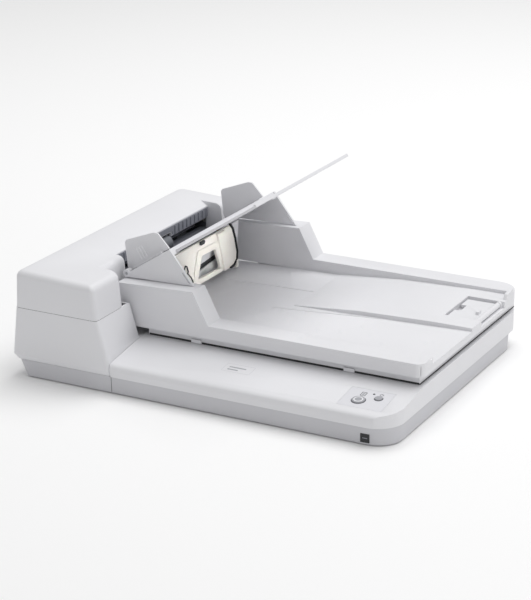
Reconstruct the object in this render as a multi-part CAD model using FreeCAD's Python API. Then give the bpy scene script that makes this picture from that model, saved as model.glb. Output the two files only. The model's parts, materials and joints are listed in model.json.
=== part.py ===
import FreeCAD, Part
import math
import os

# Flatbed document scanner with a sheet feeder at its left end and a stacker tray in its cover.
# Millimetres.  The parts are laid out with X running right from the left end, Y running back from
# the front face and Z up from the table; write_node() moves each one to the origin, which is the
# middle of the footprint at table level.

# ---- driving dimensions ---------------------------------------------------------------------
# The base runs from X 0 to LENGTH, and the feeder's flared skirt reaches out to X_LEFT.
LENGTH = 432.0
X_LEFT = -6.5
DEPTH = 345.0
WALL = 2.5
GAP = 0.4

FOOT_HEIGHT = 1.2
Z_SKIRT = 19.0
Z_TOP = 41.0
STRIP_DEPTH = 76.5
STRIP_FRONT_Z = 32.4

Z_SPLIT = 76.5
Z_COVER = 117.5
COVER_TILT = 2.6
FEEDER_STEP_Y = 62.0
CHEEK_X = 73.5
INLET_X = 56.0
INLET_WIDTH = 214.0
SEAM_X = 115.0

TRAY_X0 = 82.0
TRAY_Y0 = 70.5
TRAY_Y1 = 343.0
RIM = 26.5
TRAY_BOTTOM = 50.0
RIM_TOP = 64.5
FLOOR_LOW = 48.0
FLOOR_HIGH = 57.5

CHUTE_X = 79.0
CHUTE_Z = 97.5
CHUTE_ANGLE = 33.5
CHUTE_LENGTH = 67.5
CHUTE_INSET = 17.5
PAPER_WIDTH = 210.0
EXTENSION_END = 181.0

TRAY_MID_Y = (TRAY_Y0 + TRAY_Y1) / 2
PAPER_Y0 = TRAY_MID_Y - PAPER_WIDTH / 2
PAPER_Y1 = TRAY_MID_Y + PAPER_WIDTH / 2
INLET_Y0 = TRAY_MID_Y - INLET_WIDTH / 2
INLET_Y1 = TRAY_MID_Y + INLET_WIDTH / 2

# feeder shafts: place in the XZ plane and radius
SHAFT_R = 3.0
RUN_FIT = 0.05
DRUM_X, DRUM_Z, DRUM_R = 34.0, 66.0, 16.0
DRUM_TEETH = 36
EXIT_TEETH = 20
IDLER_TEETH = 12
PICK_TEETH = 12
MOTOR_TEETH = 12
MODULE = 1.0
PICK_X, PICK_Z, PICK_R = 64.8, 77.3, 9.0
EXIT_R = 7.0
PINCH_R = 5.0
NIP = 0.35
SIDE_PLATE_Y = (93.5, 317.0)
SIDE_PLATE_T = 3.0
GEAR_Y0, GEAR_Y1 = 321.2, 326.2

# base: screws, carriage rod, belt and its pulleys
SCREW_PLACES = [(28, 22), (28, 312), (215, 22), (215, 312), (402, 30), (402, 306)]
ROD_Y = 222.0
ROD_Z = 22.0
ROD_X0, ROD_X1 = 99.0, 426.0
BELT_Y = 262.0
PULLEY_R = 6.0
PULLEY_X0, PULLEY_X1 = 108.0, 414.0
PULLEY_Z = 21.0
BASE_X0, BASE_Y0, BASE_Y1 = 3.0, 3.5, 328.5
CARRIAGE_X = 107.0
CARRIAGE_W = 20.0

# glass, cover hinges and operator panel; buttons are (x, y along the strip, radius)
GLASS_X0, GLASS_X1 = 120.0, 420.0
GLASS_Y0, GLASS_Y1 = 98.0, 318.0
HINGE_X = (150.0, 362.0)
HINGE_Y = 341.4
HINGE_Z = 44.8
HINGE_R = 3.2
HINGE_PIN_R = 1.5
PANEL_X0, PANEL_X1 = 366.0, 414.0
PANEL_Y0, PANEL_Y1 = 6.0, 44.0
PANEL_T = 0.8
BUTTONS = [(383.5, 20.0, 6.8), (401.0, 29.5, 3.9)]
LIGHT_X, LIGHT_Y = 393.0, 36.5

# sockets in the rear face as (x, z), and the feeder cover hinge
POWER_INLET = (54.0, 31.0)
DATA_SOCKET = (78.0, 31.0)
COVER_HINGE_X = -0.8
COVER_HINGE_Z = Z_SPLIT + 0.5
KNUCKLE_R = 2.4
KNUCKLES = (44.0, 276.0)
KNUCKLE_LENGTH = 26.0

# rollers: centres of the sleeves along each shaft
EXIT_PINCH_R = 3.5
DRUM_SLEEVES = [TRAY_MID_Y + d for d in (-75, -30, 30, 75)]
EXIT_SLEEVES = [TRAY_MID_Y + d for d in (-75, -30, 30, 75)]
PICK_SLEEVES = [TRAY_MID_Y + d for d in (-9, 9)]

# stacker platform, stopper and the pivot of the chute
PLATFORM_Y = 200.0
STOPPER_X0 = LENGTH - 42
STOPPER_Y0, STOPPER_Y1 = 226.0, 292.0
STOPPER_Z = 54.0
STOPPER_PIN_X = LENGTH - 6
STOPPER_PIN_Z = 57.6
PIVOT_X, PIVOT_Z = 83.6, 100.8
PIVOT_PIN_R = 1.5
CHUTE_LUG_Y = (TRAY_Y0 + CHUTE_INSET + 2.0, TRAY_Y1 - CHUTE_INSET - 6.0)

# chute sides, guide racks and their pinion; T runs square to the chute, S along it
SIDE_T = 3.0
SIDE_Y = (TRAY_Y0 + CHUTE_INSET - 1.5, TRAY_Y1 - CHUTE_INSET - 1.5)
RAIL_IN0 = SIDE_Y[0] + SIDE_T
RAIL_IN1 = SIDE_Y[1]
SHEET_T = 1.6
RACK_T0, RACK_T1 = -3.8, -1.9
ARM_S = (13.0, 41.0)
PINION_TEETH = 16
PINION_S = 27.0
RACK_START = PAPER_Y0 - 5.85
GUIDE_OUTLINE = [(1.5, 0.6), (2.2, 6.0), (14.5, 30.0), (17.5, 31.3), (52.0, 23.6), (56.5, 20.6), (60.0, 0.6)]


def v(x, y, z):
    return FreeCAD.Vector(x, y, z)


def write_node(name, shape):
    shape.translate(v(-(X_LEFT + LENGTH) / 2, -DEPTH / 2, 0))
    shape.exportStep("parts/" + name + ".step")


# ---- small solids ---------------------------------------------------------------------------
def box(x0, x1, y0, y1, z0, z1):
    return Part.makeBox(x1 - x0, y1 - y0, z1 - z0, v(x0, y0, z0))


def rod_x(y, z, r, x0, x1):
    return Part.makeCylinder(r, x1 - x0, v(x0, y, z), v(1, 0, 0))


def rod_y(x, z, r, y0, y1):
    return Part.makeCylinder(r, y1 - y0, v(x, y0, z), v(0, 1, 0))


def rod_z(x, y, r, z0, z1):
    return Part.makeCylinder(r, z1 - z0, v(x, y, z0), v(0, 0, 1))


def prism_xz(points, y0, y1):
    corners = [v(x, y0, z) for x, z in points]
    face = Part.Face(Part.makePolygon(corners + corners[:1]))
    return face.extrude(v(0, y1 - y0, 0))


def prism_yz(points, x0, x1):
    corners = [v(x0, y, z) for y, z in points]
    face = Part.Face(Part.makePolygon(corners + corners[:1]))
    return face.extrude(v(x1 - x0, 0, 0))


def rounded_outline(x0, x1, y0, y1, z, radii, tilt=0.0):
    """Closed outline with arcs at its front-left, front-right, rear-right and rear-left corners."""
    fl, fr, rr, rl = radii
    corners = (
        (x0, y0, fl, 1, 1),
        (x1, y0, fr, -1, 1),
        (x1, y1, rr, -1, -1),
        (x0, y1, rl, 1, -1),
    )
    arcs = []
    for index, (cx, cy, r, sx, sy) in enumerate(corners):
        centre = v(cx + sx * r, cy + sy * r, 0)
        start = 180 + 90 * index
        points = []
        for turn in (0, 45, 90):
            a = math.radians(start + turn)
            points.append(centre + v(r * math.cos(a), r * math.sin(a), 0))
        arcs.append(points)
    edges = []
    for index, (start, middle, end) in enumerate(arcs):
        following = arcs[(index + 1) % 4][0]
        edges.append(Part.Arc(start, middle, end).toShape())
        edges.append(Part.LineSegment(end, following).toShape())
    wire = Part.Wire(edges)
    wire.rotate(v(0, 0, 0), v(0, 1, 0), tilt)
    wire.translate(v(0, 0, z))
    return wire


def between(low, high):
    return Part.makeLoft([low, high], True, True)


def stack(outlines):
    """Solid through a list of outlines, one straight layer between each two."""
    solid = between(outlines[0], outlines[1])
    for low, high in zip(outlines[1:], outlines[2:]):
        solid = solid.fuse(between(low, high))
    return solid.removeSplitter()


def fused(shapes):
    first = shapes[0]
    if len(shapes) == 1:
        return first
    return first.fuse(shapes[1:]).removeSplitter()


def on_chute(shape):
    """Turns a shape laid out with X up the chute's slope and Z square to its plate."""
    shape.rotate(v(0, 0, 0), v(0, 1, 0), -CHUTE_ANGLE)
    shape.translate(v(CHUTE_X, 0, CHUTE_Z))
    return shape


STRIP_SLOPE = math.degrees(math.atan((Z_TOP - STRIP_FRONT_Z) / (STRIP_DEPTH - 6.5)))


def on_strip(shape):
    """Turns a shape laid out flat at z = 0 onto the sloping front strip."""
    shape.rotate(v(0, 0, 0), v(1, 0, 0), STRIP_SLOPE)
    shape.translate(v(0, 6.5, STRIP_FRONT_Z))
    return shape


def gear_solid(teeth, phase, z0, z1, bore):
    """Spur gear about the Z axis; phase is the angle of one tooth's middle, from +X towards +Y."""
    pitch_r = MODULE * teeth / 2
    base_r = pitch_r * math.cos(math.radians(20))
    tip_r = pitch_r + 0.78 * MODULE
    root_r = pitch_r - 1.15 * MODULE
    backlash = 0.28

    def roll(r):
        a = math.acos(min(1.0, base_r / r))
        return math.tan(a) - a

    half = (math.pi * MODULE / 2 - backlash) / 2 / pitch_r
    lowest = max(root_r, base_r)
    flank = []
    for step in range(5):
        r = lowest + (tip_r - lowest) * step / 4
        flank.append((r, half + roll(pitch_r) - roll(r)))
    side = [(root_r, flank[0][1])] + flank
    points = []
    for tooth in range(teeth):
        middle = phase + 2 * math.pi * tooth / teeth
        for r, a in side:
            points.append(v(r * math.cos(middle - a), r * math.sin(middle - a), z0))
        for r, a in reversed(side):
            points.append(v(r * math.cos(middle + a), r * math.sin(middle + a), z0))
    if root_r >= base_r:
        points = [p for p, q in zip(points, points[1:] + points[:1]) if p.distanceToPoint(q) > 0.001]
    blank = Part.Face(Part.makePolygon(points + points[:1])).extrude(v(0, 0, z1 - z0))
    if bore:
        blank = blank.cut(rod_z(0, 0, bore, z0 - 1, z1 + 1))
    return blank


def feeder_gear(teeth, phase, place, bore):
    """Gear of the feeder's train, standing in the XZ plane on its shaft's place."""
    shape = gear_solid(teeth, phase, -GEAR_Y1, -GEAR_Y0, bore)
    shape.rotate(v(0, 0, 0), v(1, 0, 0), 90)
    shape.translate(v(place[0], 0, place[1]))
    return shape


def meshed_phase(teeth_a, phase_a, place_a, teeth_b, place_b):
    """Phase of gear b that puts one of its gaps on gear a's tooth."""
    line = math.atan2(place_b[1] - place_a[1], place_b[0] - place_a[0])
    return line + math.pi + math.pi / teeth_b - teeth_a / teeth_b * (phase_a - line)


def beside(place, distance, direction):
    a = math.radians(direction)
    return (place[0] + distance * math.cos(a), place[1] + distance * math.sin(a))


def third_corner(a, from_a, b, from_b):
    """Upper corner of the triangle with one side a-b and the other two sides' lengths given."""
    span = math.dist(a, b)
    along = (span ** 2 + from_a ** 2 - from_b ** 2) / (2 * span)
    off = math.sqrt(from_a ** 2 - along ** 2)
    ux, uz = (b[0] - a[0]) / span, (b[1] - a[1]) / span
    return (a[0] + ux * along - uz * off, a[1] + uz * along + ux * off)


DRUM = (DRUM_X, DRUM_Z)
PICK = (PICK_X, PICK_Z)
EXIT = beside(DRUM, MODULE * (DRUM_TEETH + EXIT_TEETH) / 2, -15.7)
MOTOR = beside(DRUM, MODULE * (DRUM_TEETH + MOTOR_TEETH) / 2, -112.0)
IDLER = third_corner(DRUM, MODULE * (DRUM_TEETH + IDLER_TEETH) / 2,
                     PICK, MODULE * (PICK_TEETH + IDLER_TEETH) / 2)


# ---- base -----------------------------------------------------------------------------------


def lower_case():
    outer = between(
        rounded_outline(8.0, 430.8, 1.8, 330.0, FOOT_HEIGHT, (6, 27, 25, 6)),
        rounded_outline(0.5, 431.5, 1.0, 331.0, Z_SKIRT, (6, 28, 26, 6)),
    )
    inner = between(
        rounded_outline(10.5, 428.3, 4.3, 327.5, FOOT_HEIGHT + WALL, (4, 24, 22, 4)),
        rounded_outline(3.0, 429.0, 3.5, 328.5, Z_SKIRT, (4, 25.5, 23.5, 4)),
    )
    shape = outer.cut(inner)
    bosses = [rod_z(x, y, 4.0, FOOT_HEIGHT + 1, Z_SKIRT - GAP) for x, y in SCREW_PLACES]
    for x in (ROD_X0, ROD_X1 - 6):
        post = box(x, x + 6, ROD_Y - 6, ROD_Y + 6, FOOT_HEIGHT + 1, ROD_Z + 6)
        bosses.append(post)
    for x in (46.0, 92.0):
        for y in (90.0, 198.0):
            bosses.append(rod_z(x, y, 3.0, FOOT_HEIGHT + 1, 10.0))
    shape = fused([shape] + bosses)
    holes = [rod_z(x, y, 1.5, FOOT_HEIGHT - 1, Z_SKIRT) for x, y in SCREW_PLACES]
    holes += [rod_z(x, y, 3.2, FOOT_HEIGHT - 1, FOOT_HEIGHT + 2) for x, y in SCREW_PLACES]
    holes.append(rod_x(ROD_Y, ROD_Z, SHAFT_R, ROD_X0 + 2, ROD_X1 - 2))
    for x in (PULLEY_X0, PULLEY_X1):
        holes.append(rod_z(x, BELT_Y, 1.55, FOOT_HEIGHT + 1.2, FOOT_HEIGHT + WALL + 1))
    return shape.cut(holes)


def inner_passage():
    """Opening in the inner walls where the rod, belt and carriage pass under the feeder."""
    return box(105, 122, 86, 326, Z_SKIRT - 1, Z_TOP - WALL)


def upper_frame():
    profile = [(0.0, Z_SKIRT), (0.0, 25.5), (1.2, 29.4), (3.4, 31.5), (6.5, STRIP_FRONT_Z)]
    profile += [(STRIP_DEPTH, Z_TOP), (DEPTH, Z_TOP), (DEPTH, Z_SKIRT)]
    outer = prism_yz(profile, 100, LENGTH)
    outline = rounded_outline(90, LENGTH, 0, DEPTH, Z_SKIRT, (2, 30, 28, 2))
    outer = outer.common(between(outline, rounded_outline(90, LENGTH, 0, DEPTH, 60, (2, 30, 28, 2))))
    under = [(WALL, Z_SKIRT), (WALL, 25.5), (7.0, 29.8), (STRIP_DEPTH, Z_TOP - WALL)]
    under += [(DEPTH - WALL, Z_TOP - WALL), (DEPTH - WALL, Z_SKIRT)]
    inner = prism_yz(under, 100, LENGTH - WALL)
    inset = (2, 28, 26, 2)
    low = rounded_outline(80, LENGTH - WALL, WALL, DEPTH - WALL, Z_SKIRT, inset)
    inner = inner.common(between(low, rounded_outline(80, LENGTH - WALL, WALL, DEPTH - WALL, 60, inset)))
    left = prism_xz([(80, Z_SKIRT - 1), (SEAM_X, Z_SKIRT - 1), (SEAM_X - 5, Z_TOP + 1), (80, Z_TOP + 1)],
                    -1, DEPTH + 1)
    inner = inner.cut(box(80, LENGTH, BASE_Y1, DEPTH, Z_SKIRT, Z_SKIRT + WALL))
    left_inner = left.copy()
    left_inner.translate(v(WALL, 0, 0))
    shape = outer.cut(left).cut(inner.cut(left_inner)).cut(inner_passage())
    window = box(GLASS_X0, GLASS_X1, GLASS_Y0, GLASS_Y1, Z_TOP - 6, Z_TOP + 1)
    shape = shape.cut(window)
    for x in HINGE_X:
        post = rod_x(HINGE_Y, HINGE_Z, HINGE_R, x + 8.3, x + 21.7)
        post = post.fuse(box(x + 8.3, x + 21.7, HINGE_Y - HINGE_R, HINGE_Y + HINGE_R, Z_TOP - 1, HINGE_Z))
        shape = shape.fuse(post)
        shape = shape.cut(rod_x(HINGE_Y, HINGE_Z, HINGE_PIN_R + RUN_FIT, x - 2, x + 32))
    pocket = on_strip(box(PANEL_X0, PANEL_X1, PANEL_Y0, PANEL_Y1, -PANEL_T, 2))
    shape = shape.removeSplitter().cut(pocket)
    for x, y, r in BUTTONS:
        shape = shape.cut(on_strip(rod_z(x, y, r + 1.2, -8, 3)))
    return shape.cut(on_strip(rod_z(LIGHT_X, LIGHT_Y, 1.25, -8, 3)))


def platen_glass():
    return box(GLASS_X0 - 3, GLASS_X1 + 4, GLASS_Y0 - 5, GLASS_Y1 + 5, Z_TOP - WALL - 3, Z_TOP - WALL)


def reference_strip():
    z = Z_TOP - WALL - 3
    return box(GLASS_X0 - 2, GLASS_X0 + 6, GLASS_Y0, GLASS_Y1, z - 0.5, z)


def operator_panel():
    shape = box(PANEL_X0 + 0.2, PANEL_X1 - 0.2, PANEL_Y0 + 0.2, PANEL_Y1 - 0.2, -PANEL_T, 0)
    for x, y, r in BUTTONS:
        shape = shape.cut(rod_z(x, y, r + 0.35, -3, 3))
    return on_strip(shape.cut(rod_z(LIGHT_X, LIGHT_Y, 1.25, -3, 3)))


def button(index):
    x, y, r = BUTTONS[index]
    cap = rod_z(x, y, r, -5.0, 1.2)
    flange = rod_z(x, y, r + 0.9, -5.0, -3.8)
    return on_strip(cap.fuse(flange).removeSplitter())


def status_light():
    return on_strip(rod_z(LIGHT_X, LIGHT_Y, 1.2, -4.5, 0.15))


def button_board():
    board = box(PANEL_X0 - 2, PANEL_X1 - 2, PANEL_Y0 + 6, PANEL_Y1, -9.6, -8.0)
    switches = [board]
    for x, y, r in BUTTONS:
        switches.append(rod_z(x, y, 2.2, -8.0, -6.4))
    switches.append(box(LIGHT_X - 1.4, LIGHT_X + 1.4, LIGHT_Y - 1.4, LIGHT_Y + 1.4, -8.0, -4.6))
    return on_strip(fused(switches))


def rubber_feet():
    places = [(34, 30), (34, 300), (398, 34), (398, 298)]
    return Part.makeCompound([rod_z(x + 14, y, 7.0, 0, FOOT_HEIGHT) for x, y in places])


def case_screws():
    screws = []
    for x, y in SCREW_PLACES:
        head = rod_z(x, y, 2.8, FOOT_HEIGHT + 0.2, FOOT_HEIGHT + 2)
        shank = rod_z(x, y, 1.45, FOOT_HEIGHT + 2, Z_SKIRT - 4)
        screws.append(head.fuse(shank).removeSplitter())
    return Part.makeCompound(screws)


def carriage_rod():
    return rod_x(ROD_Y, ROD_Z, SHAFT_R - RUN_FIT, ROD_X0 + 2.2, ROD_X1 - 2.2)


def scan_carriage():
    x0, x1 = CARRIAGE_X, CARRIAGE_X + CARRIAGE_W
    tray = box(x0, x1, GLASS_Y0 - 2, GLASS_Y1 + 2, 24.8, 31.5)
    tray = tray.cut(box(x0 + 3, x1 - 3, GLASS_Y0, GLASS_Y1, 26.5, 33))
    boss = box(x0, x1, ROD_Y - 8, ROD_Y + 8, ROD_Z - 6, 25.2)
    clamp = box(x0 + 4, x1 - 4, BELT_Y - 13, BELT_Y - 8.4, 17.5, 25.2)
    return fused([tray, boss, clamp]).cut(rod_x(ROD_Y, ROD_Z, SHAFT_R + 0.02, x0 - 1, x1 + 1))


def sensor_bar():
    x0, x1 = CARRIAGE_X + 3.2, CARRIAGE_X + CARRIAGE_W - 3.2
    return box(x0, x1, GLASS_Y0 + 0.4, GLASS_Y1 - 0.4, 26.5, 33.2)


def sensor_lens():
    middle = CARRIAGE_X + CARRIAGE_W / 2
    return box(middle - 4, middle + 4, GLASS_Y0 + 2, GLASS_Y1 - 2, 33.2, 34.4)


def drive_belt():
    r0, r1 = PULLEY_R + 0.02, PULLEY_R + 1.0
    z0, z1 = PULLEY_Z - 2.5, PULLEY_Z + 2.5
    loops = []
    for r, z_low, z_high in ((r1, z0, z1), (r0, z0 - 1, z1 + 1)):
        ends = [rod_z(x, BELT_Y, r, z_low, z_high) for x in (PULLEY_X0, PULLEY_X1)]
        loops.append(fused(ends + [box(PULLEY_X0, PULLEY_X1, BELT_Y - r, BELT_Y + r, z_low, z_high)]))
    return loops[0].cut(loops[1])


def pulley(x):
    wheel = rod_z(x, BELT_Y, PULLEY_R, PULLEY_Z - 3, PULLEY_Z + 3)
    lower = rod_z(x, BELT_Y, PULLEY_R + 2, PULLEY_Z - 4.5, PULLEY_Z - 3)
    shaft = rod_z(x, BELT_Y, 1.5, FOOT_HEIGHT + 1.4, PULLEY_Z - 4)
    return fused([wheel, lower, shaft])


def carriage_motor():
    body = rod_z(PULLEY_X0, BELT_Y, 13.0, FOOT_HEIGHT + WALL + 0.3, 13.0)
    return body.cut(rod_z(PULLEY_X0, BELT_Y, 1.6, 0, 20))


def main_board():
    board = box(40, 97, 84, 205, 10.0, 11.6)
    chips = [box(60, 78, 120, 138, 11.6, 13.2), box(80, 92, 160, 170, 11.6, 13.0)]
    return fused([board] + chips)


def power_inlet():
    x, z = POWER_INLET
    body = box(x - 6.5, x + 6.5, 330.0, DEPTH - WALL, z - 6.5, z + 6.5)
    return body.cut(rod_y(x, z, 3.2, 334.0, DEPTH)).fuse(rod_y(x, z, 1.0, 333.0, DEPTH - 4)).removeSplitter()


def data_socket():
    x, z = DATA_SOCKET
    body = box(x - 6.5, x + 6.5, 330.0, DEPTH - WALL, z - 6.0, z + 6.0)
    body = body.cut(box(x - 4.3, x + 4.3, 335.0, DEPTH, z - 4.0, z + 4.0))
    return body.fuse(box(x - 2.8, x + 2.8, 333.0, DEPTH - 5, z - 1.6, z + 1.6)).removeSplitter()


# ---- feeder ---------------------------------------------------------------------------------


def hinge_barrels(which, r):
    """Barrels of the feeder cover's hinge: the middle one is the housing's, the outer two the cover's."""
    third = KNUCKLE_LENGTH / 3
    barrels = []
    for y in KNUCKLES:
        for index in range(3):
            if (index == 1) == (which == "housing"):
                y0, y1 = y + third * index + 0.2, y + third * (index + 1) - 0.2
                if r > KNUCKLE_R:
                    y0, y1 = y0 - 0.4, y1 + 0.4
                barrels.append(rod_y(COVER_HINGE_X, COVER_HINGE_Z, r, y0, y1))
    return barrels


def feeder_housing():
    radii = (5, 4, 4, 6)
    layers = [(Z_SKIRT, X_LEFT + 4.5, 114.6, 1.5), (24.0, X_LEFT, 113.5, 0.0), (Z_TOP, -4.8, 109.6, 0.0),
              (Z_SPLIT, COVER_HINGE_X, 99.0, 0.0)]
    outer = stack([rounded_outline(x0, x1, y, DEPTH - y, z, radii) for z, x0, x1, y in layers])
    inner = stack([rounded_outline(x0 + WALL, x1 - WALL, y + WALL, DEPTH - y - WALL, z, (3, 2, 2, 4))
                   for z, x0, x1, y in layers])
    outer = outer.cut(box(80, 130, FEEDER_STEP_Y + 4, DEPTH + 1, Z_TOP - 0.3, 100))
    inner = inner.cut([
        box(80 - WALL, 130, FEEDER_STEP_Y + 4 - WALL, DEPTH + 1, Z_TOP - WALL, 100),
        box(X_LEFT - 1, 120, BASE_Y1, DEPTH, Z_SKIRT - 1, Z_SKIRT + WALL),
        box(X_LEFT - 1, BASE_X0, -1, DEPTH, Z_SKIRT - 1, Z_SKIRT + WALL),
    ])
    shape = outer.cut(inner).cut(inner_passage())
    exit_slot = box(70, 90, INLET_Y0 + 2, INLET_Y1 - 2, 56.5, 72.0)
    x, z = POWER_INLET
    inlet = rod_y(x, z, 4.6, DEPTH - 10, DEPTH + 1)
    x, z = DATA_SOCKET
    socket = box(x - 5.4, x + 5.4, DEPTH - 10, DEPTH + 1, z - 5, z + 5)
    shape = shape.cut([exit_slot, inlet, socket] + hinge_barrels("cover", KNUCKLE_R + 0.35))
    shape = fused([shape] + hinge_barrels("housing", KNUCKLE_R))
    pins = [rod_y(COVER_HINGE_X, COVER_HINGE_Z, 1.2, y - 1, y + KNUCKLE_LENGTH + 1) for y in KNUCKLES]
    return shape.cut(pins)


def cover_block(x1, y1, radii, top_round):
    """One block of the feeder cover, with its top edges rolled over in five layers."""
    outlines = [rounded_outline(COVER_HINGE_X, x1, 0, y1, Z_SPLIT + GAP, radii)]
    steps = 5
    z_side = Z_COVER - top_round
    for step in range(steps + 1):
        a = math.pi / 2 * step / steps
        inset = top_round * (1 - math.cos(a))
        corner = [max(2.5, r - inset * 0.3) for r in radii]
        z = z_side + top_round * math.sin(a)
        outline = rounded_outline(0.6 + inset, x1 - 3.2 - inset, inset, y1 - inset, z, corner, COVER_TILT)
        outlines.append(outline)
    return stack(outlines)


def feeder_top_cover():
    top_round = 7.0
    front = cover_block(99.0, FEEDER_STEP_Y, (6, 5, 16, 3), top_round)
    main = cover_block(CHEEK_X + 3.2, DEPTH, (6, 4, 10, 8), top_round)
    outer = front.fuse(main).removeSplitter()
    notch = box(INLET_X, 90, INLET_Y0, INLET_Y1, Z_SPLIT - 1, 130)
    bevel = prism_xz([(INLET_X - 9, 130), (INLET_X - 9, 115.4), (INLET_X + 1, 109.6), (INLET_X + 1, 130)],
                     INLET_Y0, INLET_Y1)
    outer = outer.cut([notch, bevel])
    z0, z1 = Z_SPLIT, 112.6
    right = INLET_X - WALL
    cheek = [(40, z0), (CHEEK_X + 0.5, z0), (CHEEK_X - WALL, 109.5), (40, 109.5)]
    hollow = [
        prism_xz([(2.2, z0), (4.2, z1), (43, z1 - 1.4), (right, 106), (right, z0)], WALL, DEPTH - WALL),
        prism_xz([(2.2, z0), (4.2, z1), (91, z1 - 3.6), (95.5, z0)], WALL, FEEDER_STEP_Y - WALL - 1),
        prism_xz(cheek, WALL, INLET_Y0 - WALL),
        prism_xz(cheek, INLET_Y1 + WALL, DEPTH - WALL),
        box(right - 1, INLET_X + 1, INLET_Y0, INLET_Y1, z0, 97.5),
        box(right - 1, INLET_X + 1, TRAY_MID_Y - 22, TRAY_MID_Y + 22, z0, 102.0),
        box(PICK_X - 6, CHEEK_X + 0.5, INLET_Y0 - WALL - 1, INLET_Y0 + 1, z0, 84),
        box(PICK_X - 6, CHEEK_X + 0.5, INLET_Y1 - 1, INLET_Y1 + WALL + 1, z0, 84),
    ]
    shape = outer.cut(hollow)
    shape = shape.cut(hinge_barrels("housing", KNUCKLE_R + 0.35))
    shape = fused([shape] + hinge_barrels("cover", KNUCKLE_R))
    pins = [rod_y(COVER_HINGE_X, COVER_HINGE_Z, 1.2 + RUN_FIT, y - 1, y + KNUCKLE_LENGTH + 1)
            for y in KNUCKLES]
    return shape.cut(pins)


def feeder_hinge_pins():
    return Part.makeCompound([rod_y(COVER_HINGE_X, COVER_HINGE_Z, 1.2, y + 0.2, y + KNUCKLE_LENGTH - 0.2)
                              for y in KNUCKLES])


def feeder_side_plates():
    outline = [(9, 24), (76.5, 24), (76.5, 75.8), (70.5, 75.8), (70.5, 88), (14, 88), (9, 70)]
    plates = []
    for y in SIDE_PLATE_Y:
        plate = prism_xz(outline, y, y + SIDE_PLATE_T)
        holes = [rod_y(x, z, SHAFT_R + 2.0, y - 1, y + 5) for x, z in (DRUM, PICK, EXIT)]
        holes += [rod_y(x, z, 1.8, y - 1, y + 5) for x, z in (PINCH, EXIT_PINCH, IDLER)]
        plates.append(plate.cut(holes))
    return Part.makeCompound(plates)


PINCH = (DRUM_X - DRUM_R - PINCH_R - NIP, DRUM_Z)
EXIT_PINCH = beside(EXIT, EXIT_R + EXIT_PINCH_R + NIP, 125)


def shaft_bushes():
    bushes = []
    for x, z in (DRUM, PICK, EXIT):
        for y in SIDE_PLATE_Y:
            ring = rod_y(x, z, SHAFT_R + 2.0, y, y + SIDE_PLATE_T)
            bushes.append(ring.cut(rod_y(x, z, SHAFT_R + RUN_FIT, y - 1, y + 5)))
    return Part.makeCompound(bushes)


def roller_shaft(place, y1):
    return rod_y(place[0], place[1], SHAFT_R, SIDE_PLATE_Y[0] - 1.5, y1)


def sleeves(place, r, centres, width, bore):
    rings = []
    for y in centres:
        ring = rod_y(place[0], place[1], r, y - width / 2, y + width / 2)
        rings.append(ring.cut(rod_y(place[0], place[1], bore, y - width, y + width)))
    return Part.makeCompound(rings)


def guide_slots(x0, x1, z0, z1, centres, width):
    return [box(x0, x1, y - width / 2 - 1, y + width / 2 + 1, z0, z1) for y in centres]


def lower_paper_guide():
    wide = prism_xz([(44, 82.9), (53, 83.8), (53, 81.8), (44, 80.9)], SIDE_PLATE_Y[0] + SIDE_PLATE_T,
                    SIDE_PLATE_Y[1])
    ramp = prism_xz([(53, 83.8), (60, 84.6), (77.5, 96.1), (77.5, 93.9), (61, 82.6), (53, 81.8)],
                    INLET_Y0 + 0.5, INLET_Y1 - 0.5)
    shape = wide.fuse(ramp).removeSplitter()
    return shape.cut(box(52, 78.5, TRAY_MID_Y - 17, TRAY_MID_Y + 17, 75, 98))


def turn_guide(r0, r1, start, end):
    """Curved sheet guide round the drum between two angles."""
    y0, y1 = SIDE_PLATE_Y[0] + SIDE_PLATE_T, SIDE_PLATE_Y[1]
    ring = rod_y(DRUM_X, DRUM_Z, r1, y0, y1).cut(rod_y(DRUM_X, DRUM_Z, r0, y0 - 1, y1 + 1))
    reach = 60
    wedge = [(DRUM_X, DRUM_Z)]
    for step in range(5):
        a = math.radians(start + (end - start) * step / 4)
        wedge.append((DRUM_X + reach * math.cos(a), DRUM_Z + reach * math.sin(a)))
    return ring.common(prism_xz(wedge, y0 - 1, y1 + 1))


def exit_ramp():
    shape = prism_xz([(44, 48.0), (77, 58.6), (77, 57.0), (44, 46.4)], SIDE_PLATE_Y[0] + SIDE_PLATE_T,
                     SIDE_PLATE_Y[1])
    return shape.cut(guide_slots(EXIT[0] - 9, EXIT[0] + 9, 45, 62, EXIT_SLEEVES, 14)
                     + [box(EXIT[0] - 4.5, EXIT[0] + 4.5, 96, 322, 53.6, 64)])


def feeder_sensor():
    body = box(DRUM_X - 7, DRUM_X + 7, 97, 316.5, 36.5, 45.5)
    return body.fuse(box(DRUM_X - 5, DRUM_X + 5, INLET_Y0, INLET_Y1, 45.5, 46.2)).removeSplitter()


def upper_paper_guide():
    y0, y1 = INLET_Y0 + WALL + 0.5, INLET_Y1 - WALL - 0.5
    arc = turn_guide(19.0, 20.6, 70, 150).common(box(0, 60, y0, y1, 60, 100))
    lip = prism_xz([(39.5, 86.0), (53.2, 95.3), (53.2, 97.3), (39.5, 87.8)], y0, y1)
    post = box(30, 34, y0 + 20, y0 + 26, 85.6, 111.4)
    post_far = box(30, 34, y1 - 26, y1 - 20, 85.6, 111.4)
    shape = fused([arc, lip, post, post_far])
    return shape.cut([box(44, 60, TRAY_MID_Y - 20, TRAY_MID_Y + 20, 80, 105)])


BRAKE = (PICK_X - (PICK_R + 8 + NIP) * math.sin(math.radians(CHUTE_ANGLE)),
         PICK_Z + (PICK_R + 8 + NIP) * math.cos(math.radians(CHUTE_ANGLE)))


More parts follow.
